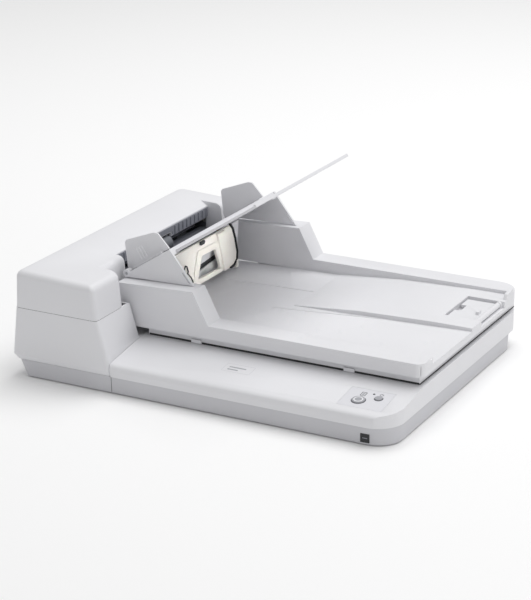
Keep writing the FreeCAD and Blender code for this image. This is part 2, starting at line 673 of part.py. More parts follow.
def brake_roller():
    x, z = BRAKE
    wheel = rod_y(x, z, 8.0, TRAY_MID_Y - 15, TRAY_MID_Y + 15)
    axle = rod_y(x, z, 1.5, TRAY_MID_Y - 19, TRAY_MID_Y + 19)
    return wheel.fuse(axle).removeSplitter()


def brake_holder():
    """Bracket under the cover whose two arms carry the brake roller's axle."""
    x, z = BRAKE
    arms = []
    for y in (TRAY_MID_Y - 19, TRAY_MID_Y + 16.2):
        eye = box(x - 4, x + 3, y, y + 2.8, z - 3, z + 6)
        stay = box(40, 53, y, y + 2.8, z, 103.0)
        arms.append(eye.fuse(stay).cut(rod_y(x, z, 1.5 + RUN_FIT, y - 1, y + 4)))
    bridge = box(40, 46, TRAY_MID_Y - 19, TRAY_MID_Y + 19, 101.0, 103.0)
    stem = box(36, 42, TRAY_MID_Y - 8, TRAY_MID_Y + 8, 101.0, 111.2)
    return fused(arms + [bridge, stem])


def stub_shaft(place, r, y0, y1):
    return rod_y(place[0], place[1], r, y0, y1)


def feeder_motor():
    body = rod_y(MOTOR[0], MOTOR[1], 13.0, 331.0, 341.5)
    return body.cut(rod_y(MOTOR[0], MOTOR[1], 1.6, 330, 342))


# ---- document cover -------------------------------------------------------------------------
def tray_wall(y0, y1):
    """One long side wall: high beside the chute, then down a short slope to the low rim."""
    profile = [(TRAY_X0, 95.5), (172.5, 99.0), (190.5, RIM_TOP), (LENGTH, RIM_TOP), (LENGTH, TRAY_BOTTOM),
               (TRAY_X0 + 8, TRAY_BOTTOM)]
    inner = [(TRAY_X0 + 2, 93.0), (170.5, 96.3), (188.5, RIM_TOP - WALL), (LENGTH - WALL, RIM_TOP - WALL),
             (LENGTH - WALL, 44), (TRAY_X0 + 10, 44)]
    shell = prism_xz(profile, y0, y1)
    return shell.cut(prism_xz(inner, y0 + WALL, y1 - WALL))


def stacker_tray():
    near = tray_wall(TRAY_Y0, TRAY_Y0 + RIM)
    far = tray_wall(TRAY_Y1 - RIM, TRAY_Y1)
    y0, y1 = TRAY_Y0 + RIM - 1, TRAY_Y1 - RIM + 1
    floor = prism_xz([(90, FLOOR_LOW), (LENGTH, FLOOR_HIGH), (LENGTH, FLOOR_HIGH - WALL),
                      (90, FLOOR_LOW - WALL)], y0, y1)
    end = box(LENGTH - WALL, LENGTH, y0, y1, TRAY_BOTTOM, FLOOR_HIGH - 0.5)
    shape = fused([near, far, floor, end])
    platform = prism_xz([(225, FLOOR_LOW + 4.2), (300, FLOOR_HIGH + 1), (LENGTH - 44, FLOOR_HIGH + 3.4),
                         (LENGTH, FLOOR_HIGH + 3.4), (LENGTH, FLOOR_HIGH - 1.5), (225, FLOOR_LOW + 2)],
                        PLATFORM_Y, y1)
    shape = shape.fuse(platform)
    lip = prism_yz([(STOPPER_Y1 + 3, FLOOR_HIGH), (y1, FLOOR_HIGH), (y1, 68.5), (STOPPER_Y1 + 9, 66.5)],
                   LENGTH - 4, LENGTH)
    shape = shape.fuse(lip).removeSplitter()
    recess = box(STOPPER_X0, LENGTH + 1, STOPPER_Y0, STOPPER_Y1, STOPPER_Z, 90)
    shape = shape.cut(recess)
    tub = box(STOPPER_X0 - 2, LENGTH, STOPPER_Y0 - 2, STOPPER_Y1 + 2, STOPPER_Z - 2.2, STOPPER_Z)
    shape = shape.fuse(tub)
    rounded = between(
        rounded_outline(60, LENGTH, TRAY_Y0, TRAY_Y1, 40, (1, 9, 26, 1)),
        rounded_outline(60, LENGTH, TRAY_Y0, TRAY_Y1, 120, (1, 9, 26, 1)),
    )
    shape = shape.common(rounded)
    ears = []
    for y0 in (STOPPER_Y0, STOPPER_Y1 - 4):
        ear = box(STOPPER_PIN_X - 3.2, STOPPER_PIN_X + 3.2, y0, y0 + 4, STOPPER_Z - 1, STOPPER_PIN_Z)
        ears.append(ear.fuse(rod_y(STOPPER_PIN_X, STOPPER_PIN_Z, 3.2, y0, y0 + 4)))
    lugs = []
    for y0 in (CHUTE_LUG_Y[0], CHUTE_LUG_Y[1]):
        lug = rod_y(PIVOT_X, PIVOT_Z, 4.0, y0, y0 + 4)
        lugs.append(lug.fuse(box(PIVOT_X - 4, PIVOT_X + 4, y0, y0 + 4, 92, PIVOT_Z)))
    blocks = []
    for x in HINGE_X:
        for x0 in (x, x + 22):
            barrel = rod_x(HINGE_Y, HINGE_Z, HINGE_R, x0, x0 + 8)
            web = box(x0, x0 + 8, TRAY_Y1 - 8, TRAY_Y1 - 0.5, HINGE_Z, TRAY_BOTTOM + 4)
            blocks.append(barrel.fuse(web))
    shape = fused([shape] + ears + lugs + blocks)
    cuts = [rod_y(STOPPER_PIN_X, STOPPER_PIN_Z, 1.5, STOPPER_Y0 + 1, STOPPER_Y1 - 1)]
    cuts += [rod_y(PIVOT_X, PIVOT_Z, PIVOT_PIN_R, y0 - 1, y0 + 5) for y0 in CHUTE_LUG_Y]
    for x in HINGE_X:
        cuts.append(rod_x(HINGE_Y, HINGE_Z, HINGE_PIN_R, x - 2, x + 32))
        cuts.append(box(x + 7.9, x + 22.1, HINGE_Y - 5, TRAY_Y1 + 1, Z_TOP, HINGE_Z + 4.2))
    return shape.cut(cuts)


def cover_bottom_panel():
    """Underside of the document cover: a shallow tray that carries the white pad."""
    x0, x1, y0, y1 = 116.0, LENGTH - 5, TRAY_Y0 + 6, TRAY_Y1 - 8.5
    plate = box(x0, x1, y0, y1, 43.2, 45.2)
    rails = [
        box(x0, x1, y0, y0 + 12, Z_TOP + GAP, TRAY_BOTTOM),
        box(x0, x1, y1 - 10, y1, Z_TOP + GAP, TRAY_BOTTOM - 0.5),
        box(x1 - 4, x1, y0, y1, Z_TOP + GAP, TRAY_BOTTOM),
        box(x0, x0 + 3, y0, y1, Z_TOP + GAP, 45.2),
    ]
    return fused([plate] + rails)


def document_pad():
    return box(GLASS_X0 + 2, GLASS_X1 - 2, GLASS_Y0 + 2, GLASS_Y1 - 2, Z_TOP - 1.8, 43.2)


def cover_bumpers():
    y = TRAY_Y0 + 4.2
    return Part.makeCompound([box(x, x + 12, y, y + 1.8, Z_TOP + GAP, 45.5) for x in (168.0, 344.0)])


def rear_hinge_pins():
    return [rod_x(HINGE_Y, HINGE_Z, HINGE_PIN_R, x + 0.2, x + 29.8) for x in HINGE_X]


def exit_panel():
    """Light inner wall under the chute, with a window, a brace and a slot below for the sheets."""
    y0, y1 = TRAY_Y0 + RIM + 0.5, 292.0
    sheet = prism_xz([(105, 55.5), (107.5, 55.5), (110.5, 105.5), (108, 105.5)], y0, y1)
    sheet = sheet.cut(box(100, 115, 203, 246, 62, 92))
    feet = [
        prism_xz([(101, 49.5), (110, 50.0), (108, 58), (103, 58)], y0, y0 + 4),
        prism_xz([(101, 49.5), (110, 50.0), (108, 58), (103, 58)], y1 - 4, y1),
    ]
    brace = prism_xz([(107, 57.5), (113.5, 57.5), (114.5, 100), (109, 104.0)], 246.5, 252.5)
    fins = [prism_xz([(107.2, 60), (110, 60), (112.5, 98), (109.5, 104)], y, y + 1.6) for y in (118, 140, 162, 184)]
    stays = [box(101, 105.5, y, y + 3, 60, 70) for y in (y0, y1 - 3)]
    return fused([sheet, brace] + feet + fins + stays)


def stacker_stopper():
    width0, width1 = STOPPER_Y0 + 4.4, STOPPER_Y1 - 4.4
    flap = box(STOPPER_X0 + 1.5, STOPPER_PIN_X, width0, width1, STOPPER_PIN_Z - 1.3, STOPPER_PIN_Z + 1.3)
    barrel = rod_y(STOPPER_PIN_X, STOPPER_PIN_Z, 3.0, width0, width1)
    hook = box(STOPPER_PIN_X - 9, STOPPER_PIN_X - 5.5, 246, 254, STOPPER_PIN_Z, STOPPER_PIN_Z + 4.4)
    notch = box(STOPPER_X0, STOPPER_X0 + 8, 250, 268, STOPPER_PIN_Z - 5, STOPPER_PIN_Z + 5)
    shape = fused([flap, barrel, hook]).cut(notch)
    return shape.cut(rod_y(STOPPER_PIN_X, STOPPER_PIN_Z, 1.5 + RUN_FIT, STOPPER_Y0, STOPPER_Y1))


def stopper_pin():
    return rod_y(STOPPER_PIN_X, STOPPER_PIN_Z, 1.5, STOPPER_Y0 + 1.2, STOPPER_Y1 - 1.2)


# ---- chute ----------------------------------------------------------------------------------


def chute_side(y0):
    """Triangular cheek of the chute, with a narrow slit along its lower right edge."""
    apex = on_chute_point(CHUTE_LENGTH)
    foot = (164.5, 99.2)
    outline = [(PIVOT_X, 97.0), foot, (apex[0] + 1.5, apex[1]), apex, on_chute_point(4.0)]
    plate = prism_xz(outline, y0, y0 + SIDE_T)
    plate = plate.fuse(rod_y(PIVOT_X, PIVOT_Z, 4.2, y0, y0 + SIDE_T)).removeSplitter()
    slit = prism_xz([(150.5, 112.0), (152.5, 112.0), (161.0, 101.6), (159.0, 101.6)], y0 - 1, y0 + 5)
    pin = rod_y(PIVOT_X, PIVOT_Z, PIVOT_PIN_R + RUN_FIT, y0 - 1, y0 + 5)
    return plate.cut([slit, pin])


def on_chute_point(s):
    a = math.radians(CHUTE_ANGLE)
    return (CHUTE_X + s * math.cos(a), CHUTE_Z + s * math.sin(a))


def chute_plate():
    """Plate of the chute: slotted top sheet, a rack space under it and a track for the extension."""
    s0, s1 = 4.0, CHUTE_LENGTH
    sheet = box(s0, s1, RAIL_IN0, RAIL_IN1, -SHEET_T, 0)
    lip = box(s1 - 3, s1, RAIL_IN0, RAIL_IN1, RACK_T0 - 0.1, -SHEET_T)
    parts = [sheet, lip, rod_z(PINION_S, TRAY_MID_Y, 1.8, RACK_T0, -SHEET_T)]
    for wall, inward in ((RAIL_IN0, 1), (RAIL_IN1, -1)):
        for depth, t0, t1, start in ((3.0, RACK_T0, -SHEET_T, s0), (8.0, -7.6, RACK_T0, s0 + 10),
                                     (14.0, -7.6, -7.0, s0 + 10)):
            y0, y1 = sorted((wall, wall + inward * depth))
            parts.append(box(start, s1, y0, y1, t0, t1))
    shape = fused(parts)
    slots = []
    for s in ARM_S:
        for near, far in ((RAIL_IN0 + 3.3, RAIL_IN0 + 91), (RAIL_IN1 - 91, RAIL_IN1 - 3.3)):
            slots.append(box(s - 2, s + 2, near, far, -SHEET_T - 0.1, 1))
    for y0, y1 in ((RAIL_IN0 - 1, RAIL_IN0 + 5.2), (RAIL_IN1 - 5.2, RAIL_IN1 + 1)):
        slots.append(box(s0 - 1, s0 + 9.5, y0, y1, -9, 2))
    return on_chute(shape.cut(slots))


def mirrored_to_rear(shape):
    """Reflects a front part of the chute to the rear, about the tray's middle plane."""
    return shape.mirror(v(0, TRAY_MID_Y, 0), v(0, 1, 0))


def front_guide():
    """Side guide: an upright plate on the chute, held by two arms that reach into the slots."""
    wall = prism_xz(GUIDE_OUTLINE, PAPER_Y0 - 2.2, PAPER_Y0)
    foot = box(8, 52, PAPER_Y0 - 7, PAPER_Y0 - 2.2, 0.3, 2.2)
    parts = [wall, foot]
    for s, depth in zip(ARM_S, (RACK_T1, -1.5)):
        parts.append(box(s - 1.5, s + 1.5, RACK_START, RACK_START + 3, depth, 0.4))
    return fused(parts)


def rear_guide():
    """The same guide at the rear, with its long arm on the other rack's line."""
    wall = mirrored_to_rear(prism_xz(GUIDE_OUTLINE, PAPER_Y0 - 2.2, PAPER_Y0))
    foot = mirrored_to_rear(box(8, 52, PAPER_Y0 - 7, PAPER_Y0 - 2.2, 0.3, 2.2))
    parts = [wall, foot]
    for s, depth in zip(ARM_S, (-1.5, RACK_T1)):
        parts.append(mirrored_to_rear(box(s - 1.5, s + 1.5, RACK_START, RACK_START + 3, depth, 0.4)))
    return fused(parts)


def front_rack():
    """Toothed bar on the low side of the pinion; its teeth point up the slope."""
    pitch = math.pi * MODULE
    line = PINION_S - MODULE * PINION_TEETH / 2
    s0, root, tip = ARM_S[0] - 1.5, line - 1.1 * MODULE, line + 0.72 * MODULE
    y0, y1 = RACK_START, TRAY_MID_Y + 16
    bar = box(s0, root, y0, y1, RACK_T0, RACK_T1)
    teeth = []
    for index in range(-6, 5):
        y = TRAY_MID_Y + pitch * (index + 0.5)
        corners = [(root - 0.2, y - 1.05), (tip, y - 0.38), (tip, y + 0.38), (root - 0.2, y + 1.05)]
        corners = [v(s, y, RACK_T0) for s, y in corners]
        teeth.append(Part.Face(Part.makePolygon(corners + corners[:1])).extrude(v(0, 0, RACK_T1 - RACK_T0)))
    for index in range(7, 40):
        y = TRAY_MID_Y - pitch * (index - 0.5)
        if y > y0 + 4:
            corners = [(root - 0.2, y - 1.05), (tip, y - 0.38), (tip, y + 0.38), (root - 0.2, y + 1.05)]
            corners = [v(s, y, RACK_T0) for s, y in corners]
            teeth.append(Part.Face(Part.makePolygon(corners + corners[:1])).extrude(v(0, 0, RACK_T1 - RACK_T0)))
    return fused([bar] + teeth)


def rear_rack():
    """The front rack turned half round the pinion's axis."""
    shape = front_rack()
    shape.rotate(v(PINION_S, TRAY_MID_Y, 0), v(0, 0, 1), 180)
    return shape


def guide_pinion():
    shape = gear_solid(PINION_TEETH, 0.0, RACK_T0 + 0.05, RACK_T1 - 0.05, 1.8 + RUN_FIT)
    shape.translate(v(PINION_S, TRAY_MID_Y, 0))
    return shape


def chute_hinge_pins():
    pins = []
    for y0, y1 in ((SIDE_Y[0] + 0.2, CHUTE_LUG_Y[0] + 3.8), (CHUTE_LUG_Y[1] + 0.2, SIDE_Y[1] + SIDE_T - 0.2)):
        pins.append(rod_y(PIVOT_X, PIVOT_Z, PIVOT_PIN_R, y0, y1))
    return pins


def extension_plate():
    y0, y1 = RAIL_IN0 + 8.3, RAIL_IN1 - 8.3
    s0 = 58.0
    sheet = box(s0, EXTENSION_END, y0, y1, -6.7, -4.2)
    lip = box(EXTENSION_END - 3, EXTENSION_END, y0, y1, -6.7, -3.2)
    return on_chute(fused([sheet, lip]))


# ---- the parts ------------------------------------------------------------------------------
def main():
    os.makedirs("parts", exist_ok=True)
    drum_phase = math.radians(-15.7)
    exit_phase = meshed_phase(DRUM_TEETH, drum_phase, DRUM, EXIT_TEETH, EXIT)
    idler_phase = meshed_phase(DRUM_TEETH, drum_phase, DRUM, IDLER_TEETH, IDLER)
    motor_phase = meshed_phase(DRUM_TEETH, drum_phase, DRUM, MOTOR_TEETH, MOTOR)
    pick_phase = meshed_phase(IDLER_TEETH, idler_phase, IDLER, PICK_TEETH, PICK)
    plate_y0, plate_y1 = SIDE_PLATE_Y[0], SIDE_PLATE_Y[1] + SIDE_PLATE_T
    thin = 1.8 - RUN_FIT

    nodes = {
        "lower_case": lower_case(),
        "upper_frame": upper_frame(),
        "platen_glass": platen_glass(),
        "reference_strip": reference_strip(),
        "operator_panel": operator_panel(),
        "scan_button": button(0),
        "power_button": button(1),
        "status_light": status_light(),
        "rubber_feet": rubber_feet(),
        "case_screws": case_screws(),
        "carriage_rod": carriage_rod(),
        "scan_carriage": scan_carriage(),
        "sensor_bar": sensor_bar(),
        "sensor_lens": sensor_lens(),
        "drive_belt": drive_belt(),
        "drive_pulley": pulley(PULLEY_X0),
        "idler_pulley": pulley(PULLEY_X1),
        "carriage_motor": carriage_motor(),
        "circuit_boards": Part.makeCompound([main_board(), button_board()]),
        "power_inlet": power_inlet(),
        "data_socket": data_socket(),
        "feeder_housing": feeder_housing(),
        "feeder_side_plates": feeder_side_plates(),
        "shaft_bushes": shaft_bushes(),
        "lower_paper_guide": lower_paper_guide(),
        "turn_guides": Part.makeCompound([turn_guide(19.0, 20.6, 195, 245), exit_ramp()]),
        "feeder_sensor": feeder_sensor(),
        "feeder_motor": feeder_motor(),
        "feeder_hinge_pins": feeder_hinge_pins(),
        "feeder_top_cover": feeder_top_cover(),
        "upper_paper_guide": upper_paper_guide(),
        "brake_holder": brake_holder(),
        "brake_roller": brake_roller(),
        "drum_shaft": roller_shaft(DRUM, GEAR_Y1),
        "drum_sleeves": sleeves(DRUM, DRUM_R, DRUM_SLEEVES, 22, SHAFT_R),
        "drum_gear": feeder_gear(DRUM_TEETH, drum_phase, DRUM, SHAFT_R),
        "exit_shaft": roller_shaft(EXIT, GEAR_Y1),
        "exit_sleeves": sleeves(EXIT, EXIT_R, EXIT_SLEEVES, 14, SHAFT_R),
        "exit_gear": feeder_gear(EXIT_TEETH, exit_phase, EXIT, SHAFT_R),
        "pick_shaft": roller_shaft(PICK, GEAR_Y1),
        "pick_sleeves": sleeves(PICK, PICK_R, PICK_SLEEVES, 13, SHAFT_R),
        "pick_gear": feeder_gear(PICK_TEETH, pick_phase, PICK, SHAFT_R),
        "idler_gear": fused([feeder_gear(IDLER_TEETH, idler_phase, IDLER, 0),
                             stub_shaft(IDLER, thin, SIDE_PLATE_Y[1], GEAR_Y0)]),
        "motor_pinion": fused([feeder_gear(MOTOR_TEETH, motor_phase, MOTOR, 0),
                               stub_shaft(MOTOR, 1.5, GEAR_Y1, 341.0)]),
        "pinch_rollers": fused([stub_shaft(PINCH, thin, plate_y0 - 0.5, plate_y1 + 0.5)]
                               + [rod_y(PINCH[0], PINCH[1], PINCH_R, y - 8, y + 8) for y in DRUM_SLEEVES]),
        "exit_pinch_rollers": fused([stub_shaft(EXIT_PINCH, thin, plate_y0 - 0.5, plate_y1 + 0.5)]
                                    + [rod_y(EXIT_PINCH[0], EXIT_PINCH[1], EXIT_PINCH_R, y - 6, y + 6)
                                       for y in EXIT_SLEEVES]),
        "stacker_tray": stacker_tray(),
        "cover_bottom_panel": cover_bottom_panel(),
        "document_pad": document_pad(),
        "cover_bumpers": cover_bumpers(),
        "steel_hinge_pins": Part.makeCompound(rear_hinge_pins() + chute_hinge_pins() + [stopper_pin()]),
        "exit_panel": exit_panel(),
        "stacker_stopper": stacker_stopper(),
        "chute_sides": Part.makeCompound([chute_side(y) for y in SIDE_Y]),
        "chute_plate": chute_plate(),
        "front_guide": on_chute(fused([front_guide(), front_rack()])),
        "rear_guide": on_chute(fused([rear_guide(), rear_rack()])),
        "guide_pinion": on_chute(guide_pinion()),
        "extension_plate": extension_plate(),
    }
    for name, shape in nodes.items():
        write_node(name, shape)


if __name__ == "__main__":
    main()
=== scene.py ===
"""Desktop document scanner: flatbed, sheet feeder, paper chute and stacker tray."""
import math

import bmesh
import bpy
from mathutils import Matrix, Vector
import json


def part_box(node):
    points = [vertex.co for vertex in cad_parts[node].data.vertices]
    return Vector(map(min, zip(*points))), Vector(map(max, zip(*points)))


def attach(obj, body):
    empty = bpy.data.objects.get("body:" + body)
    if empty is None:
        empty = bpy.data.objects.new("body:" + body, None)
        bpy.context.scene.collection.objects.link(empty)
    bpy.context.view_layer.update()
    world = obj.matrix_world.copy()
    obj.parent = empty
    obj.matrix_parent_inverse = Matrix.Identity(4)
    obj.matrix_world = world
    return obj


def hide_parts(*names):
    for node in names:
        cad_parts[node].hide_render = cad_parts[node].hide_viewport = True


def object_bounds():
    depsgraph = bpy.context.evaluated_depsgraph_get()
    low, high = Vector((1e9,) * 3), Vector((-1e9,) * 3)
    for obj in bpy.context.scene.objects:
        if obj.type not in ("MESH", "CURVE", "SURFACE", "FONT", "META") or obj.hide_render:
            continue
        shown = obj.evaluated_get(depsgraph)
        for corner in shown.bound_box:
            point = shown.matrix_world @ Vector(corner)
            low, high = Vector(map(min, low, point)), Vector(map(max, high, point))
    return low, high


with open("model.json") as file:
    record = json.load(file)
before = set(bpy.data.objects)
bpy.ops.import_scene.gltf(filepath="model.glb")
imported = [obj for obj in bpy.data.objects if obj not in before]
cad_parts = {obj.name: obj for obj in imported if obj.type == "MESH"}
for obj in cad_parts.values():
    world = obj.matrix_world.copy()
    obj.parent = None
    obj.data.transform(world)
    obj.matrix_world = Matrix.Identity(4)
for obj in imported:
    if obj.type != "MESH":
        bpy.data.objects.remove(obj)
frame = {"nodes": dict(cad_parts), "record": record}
cad_low, cad_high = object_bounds()

MM = 0.001
RIGHT_END = 432.0  # X of the right end and Y of the rear, in mm from the base's left end and front face
DEPTH = 345.0
SMOOTH_ANGLE = math.radians(34)  # edges sharper than this stay sharp, or are rounded by soften
FLAT_ANGLE = math.radians(0.5)
CAD_FLAT_ANGLE = math.radians(0.8)
MERGE = 0.002  # corners closer than this, in mm, are one
CAD_MERGE = 0.003
CORNER_STEPS = 4
CIRCLE_STEPS = 48
BEAD_SIDES = 10


# ---------------------------------------------------------------- materials

def linear(code):
    """A hex sRGB colour as linear red, green, blue and alpha."""
    parts = [int(code[i:i + 2], 16) / 255 for i in (1, 3, 5)]
    parts = [c / 12.92 if c <= 0.04045 else ((c + 0.055) / 1.055) ** 2.4 for c in parts]
    return (*parts, 1.0)


def add(tree, kind, inputs=None, **settings):
    """Adds one node with its settings, and with values or links on its inputs."""
    made = tree.nodes.new(kind)
    for name, value in settings.items():
        setattr(made, name, value)
    for key, value in (inputs or {}).items():
        if isinstance(value, bpy.types.NodeSocket):
            tree.links.new(value, made.inputs[key])
        else:
            made.inputs[key].default_value = value
    return made


def blank(name, **shader_values):
    """A new material with only its shader, whose plain values are set here."""
    made = bpy.data.materials.new(name)
    made.use_nodes = True
    tree = made.node_tree
    tree.nodes.clear()
    shader = add(tree, "ShaderNodeBsdfPrincipled", shader_values)
    add(tree, "ShaderNodeOutputMaterial", {"Surface": shader.outputs["BSDF"]})
    place = add(tree, "ShaderNodeTexCoord").outputs["Object"]
    return made, tree, shader, place


def two_tones(tree, shader, factor, first, second):
    """Mixes two near shades into the shader's colour."""
    mix = add(tree, "ShaderNodeMix", {0: factor, 6: linear(first), 7: linear(second)}, data_type="RGBA")
    tree.links.new(mix.outputs[2], shader.inputs["Base Color"])


def spread(tree, value, low, high):
    """Maps a pattern from 0-1 to a range."""
    return add(tree, "ShaderNodeMapRange", {"Value": value, "To Min": low, "To Max": high}).outputs["Result"]


def per_metre(size):
    """A pattern's scale from the size of its features in mm."""
    return 1 / (size * MM)


SHADE_PATCH = 71.5  # width in mm of the faint patches of shade in moulded plastic
DUST_PATCH = 16.7
BOARD_TILE = 6.25  # one cell of the copper tracks: 5.6 mm long and 2 mm wide
GLOSS_DRIFT = 0.07


def moulded(name, first, second, roughness, grain, relief):
    """Moulded plastic: grain is the width of its texture in mm, relief the height in mm."""
    made, tree, shader, place = blank(name, IOR=1.53)
    drift = add(tree, "ShaderNodeTexNoise", {"Vector": place, "Scale": per_metre(SHADE_PATCH), "Detail": 3.0})
    two_tones(tree, shader, drift.outputs["Fac"], first, second)
    pits = add(tree, "ShaderNodeTexNoise", {"Vector": place, "Scale": per_metre(grain), "Detail": 3.0,
                                            "Roughness": 0.6}).outputs["Fac"]
    rough = spread(tree, pits, roughness - GLOSS_DRIFT, roughness + GLOSS_DRIFT)
    tree.links.new(rough, shader.inputs["Roughness"])
    bump = add(tree, "ShaderNodeBump", {"Height": pits, "Distance": relief * MM, "Strength": 1.0})
    tree.links.new(bump.outputs["Normal"], shader.inputs["Normal"])
    return made


def ground_metal(name, first, second, roughness, grain):
    """Metal with fine lines: grain is their size in mm along X, Y and Z."""
    made, tree, shader, place = blank(name, Metallic=1.0)
    fineness = [per_metre(size) for size in grain]
    lines = add(tree, "ShaderNodeMapping", {"Vector": place, "Scale": fineness}).outputs["Vector"]
    pattern = add(tree, "ShaderNodeTexNoise", {"Vector": lines, "Scale": 1.0, "Detail": 4.0}).outputs["Fac"]
    two_tones(tree, shader, pattern, first, second)
    tree.links.new(spread(tree, pattern, roughness - 0.08, roughness + 0.1), shader.inputs["Roughness"])
    bump = add(tree, "ShaderNodeBump", {"Height": pattern, "Distance": 0.01 * MM, "Strength": 0.5})
    tree.links.new(bump.outputs["Normal"], shader.inputs["Normal"])
    return made


def clear_plate(name, tint, roughness, ior):
    """Clear glass or plastic with a trace of dust that dulls it in patches."""
    made, tree, shader, place = blank(name, IOR=ior)
    shader.inputs["Transmission Weight"].default_value = 1.0
    dust = add(tree, "ShaderNodeTexNoise", {"Vector": place, "Scale": per_metre(DUST_PATCH), "Detail": 5.0})
    two_tones(tree, shader, dust.outputs["Fac"], tint, "#FFFFFF")
    dulled = spread(tree, dust.outputs["Fac"], roughness, roughness + 0.05)
    tree.links.new(dulled, shader.inputs["Roughness"])
    return made


def masked_board():
    """Glass fibre board under green solder mask: copper tracks stand just proud of it."""
    made, tree, shader, place = blank("solder_masked_board", IOR=1.5)
    shader.inputs["Coat Weight"].default_value = 0.5
    tracks = add(tree, "ShaderNodeTexBrick", {"Vector": place, "Scale": per_metre(BOARD_TILE),
                                              "Mortar Size": 0.035, "Mortar Smooth": 0.1,
                                              "Brick Width": 0.9, "Row Height": 0.32}).outputs["Fac"]
    two_tones(tree, shader, tracks, "#155A34", "#2C8450")
    tree.links.new(spread(tree, tracks, 0.42, 0.3), shader.inputs["Roughness"])
    bump = add(tree, "ShaderNodeBump", {"Height": tracks, "Distance": 0.05 * MM})
    tree.links.new(bump.outputs["Normal"], shader.inputs["Normal"])
    return made


FINISHES = {
    # spark-eroded ABS, off-white: a dry even skin with pits about half a millimetre wide,
    # drawn at 1.1 mm to show
    "case_abs": moulded("moulded_abs_off_white", "#E6E6E9", "#E0E0E3", 0.52, 1.1, 0.022),
    # the same ABS in the slightly darker shade of the skirt
    "skirt_abs": moulded("moulded_abs_light_grey", "#CDCDD1", "#C5C5C9", 0.54, 1.1, 0.022),
    # polystyrene with a satin skin, warmer than the case; its cream is lifted near white as painted light for
    # the shaded exit wall under the chute
    "guide_cream": moulded("moulded_polystyrene_cream", "#FBF8F1", "#F5F1E8", 0.4, 1.6, 0.012),
    # ABS in blue-grey for the paper path, a little glossy where paper has polished it; the blue-grey is
    # darker than the plastic's own, as painted shade for the inlet
    "inner_grey": moulded("polished_abs_blue_grey", "#93959D", "#868891", 0.36, 1.4, 0.014),
    # ABS button caps, finely etched
    "button_grey": moulded("etched_abs_button", "#ABACB1", "#A0A1A7", 0.46, 0.9, 0.014),
    # printed polycarbonate film: nearly smooth, soft sheen
    "panel_film": moulded("polycarbonate_film", "#E3E3E7", "#DDDDE2", 0.33, 0.9, 0.006),
    # closed-cell white foam sheet and white paper tape: matte
    "white_sheet": moulded("white_cellular_foam", "#F3F3F1", "#EAEAE8", 0.8, 0.8, 0.05),
    # moulded nitrile rubber: dark, matte, with a trace of talc
    "rubber_black": moulded("moulded_nitrile_rubber", "#242427", "#313135", 0.72, 1.0, 0.03),
    # ground roller rubber: soft grey with a velvety ground face
    "rubber_grey": moulded("ground_roller_rubber", "#7C7F85", "#6B6E74", 0.66, 0.7, 0.03),
    # unfilled acetal: milky and waxy
    "gear_acetal": moulded("machined_acetal", "#EFEDE6", "#E4E1D8", 0.3, 1.8, 0.008),
    # glass-filled nylon for sockets: near black, dull; the same near-black is the painted shadow of the
    # strips in the lid's split and under its edges, behind the exit slit, along the exit wall and in the
    # skirt's seam
    "socket_black": moulded("nylon_black_and_painted_shadow", "#1B1C1F", "#27282C", 0.48, 1.0, 0.018),
    # ground and polished shaft steel: fine rings round the shaft
    "steel": ground_metal("ground_shaft_steel", "#C4C5C8", "#A6A8AC", 0.28, (25, 1 / 3, 25)),
    # zinc-plated sheet: soft bright crystals with a rolled grain
    "zinc_steel": ground_metal("zinc_plated_sheet", "#C9CCD0", "#AEB2B8", 0.38, (1.111, 16.67, 3.846)),
    # sintered bronze: grainy and warm
    "brass": ground_metal("sintered_bronze", "#C79A54", "#A87E40", 0.42, (2 / 3, 2 / 3, 2 / 3)),
    # nickel-plated motor can, drawn lengthwise
    "motor_metal": ground_metal("drawn_motor_can", "#8E9196", "#75787E", 0.34, (8.333, 0.4545, 8.333)),
    # clear acrylic lens
    "lens_clear": clear_plate("moulded_acrylic_lens", "#EAF2FF", 0.08, 1.49),
    # float glass: faint green in its depth
    "platen_glass": clear_plate("float_glass", "#F2FAF6", 0.02, 1.52),
    "board_green": masked_board(),
}


# ------------------------------------------------------------------- meshes

def piece(name, mesh, body, slot):
    """Puts a finished mesh in the scene as a piece that rides on a body."""
    made = bpy.data.objects.new(name, mesh)
    bpy.context.scene.collection.objects.link(made)
    mesh.materials.clear()
    mesh.materials.append(FINISHES[slot])
    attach(made, body)
    return made


def body_of(node):
    """The body that a CAD node rides on."""
    for body, members in frame["record"]["behaviour"]["bodies"].items():
        if node in members:
            return body
    return None


def soften(made, width):
    """Rounds a piece's sharp edges by a real radius in mm."""
    bevel = made.modifiers.new("rounded_edges", "BEVEL")
    bevel.limit_method = "ANGLE"
    bevel.angle_limit = SMOOTH_ANGLE
    bevel.width = width * MM
    bevel.segments = 2
    bevel.harden_normals = True
    bevel.miter_outer = "MITER_ARC"


def shade(mesh):
    """Shades a mesh's curves smooth and leaves its edges sharp."""
    mesh.shade_smooth()
    mesh.set_sharp_from_angle(angle=SMOOTH_ANGLE)
    return mesh


def welded(mesh):
    """Merges a mesh's doubled corners, joins its flat faces and shades its curves smooth."""
    work = bmesh.new()
    work.from_mesh(mesh)
    bmesh.ops.remove_doubles(work, verts=work.verts, dist=CAD_MERGE * MM)
    bmesh.ops.dissolve_limit(work, angle_limit=CAD_FLAT_ANGLE, verts=work.verts, edges=work.edges)
    work.to_mesh(mesh)
    work.free()
    return shade(mesh)


# ----------------------------------------------------------- shape builders

def at(x, y, z):
    """A point given in mm from the base's left end, front face and table, in the model's metres."""
    return Vector((cad_high.x - (RIGHT_END - x) * MM, cad_low.y + y * MM, z * MM))


def plane(origin, along, up):
    """Carries flat outlines in mm onto a plane: along and up are its directions."""
    along, up = Vector(along).normalized(), Vector(up).normalized()
    out = along.cross(up)
    made = Matrix((along * MM, up * MM, out * MM)).transposed().to_4x4()
    made.translation = origin
    return made


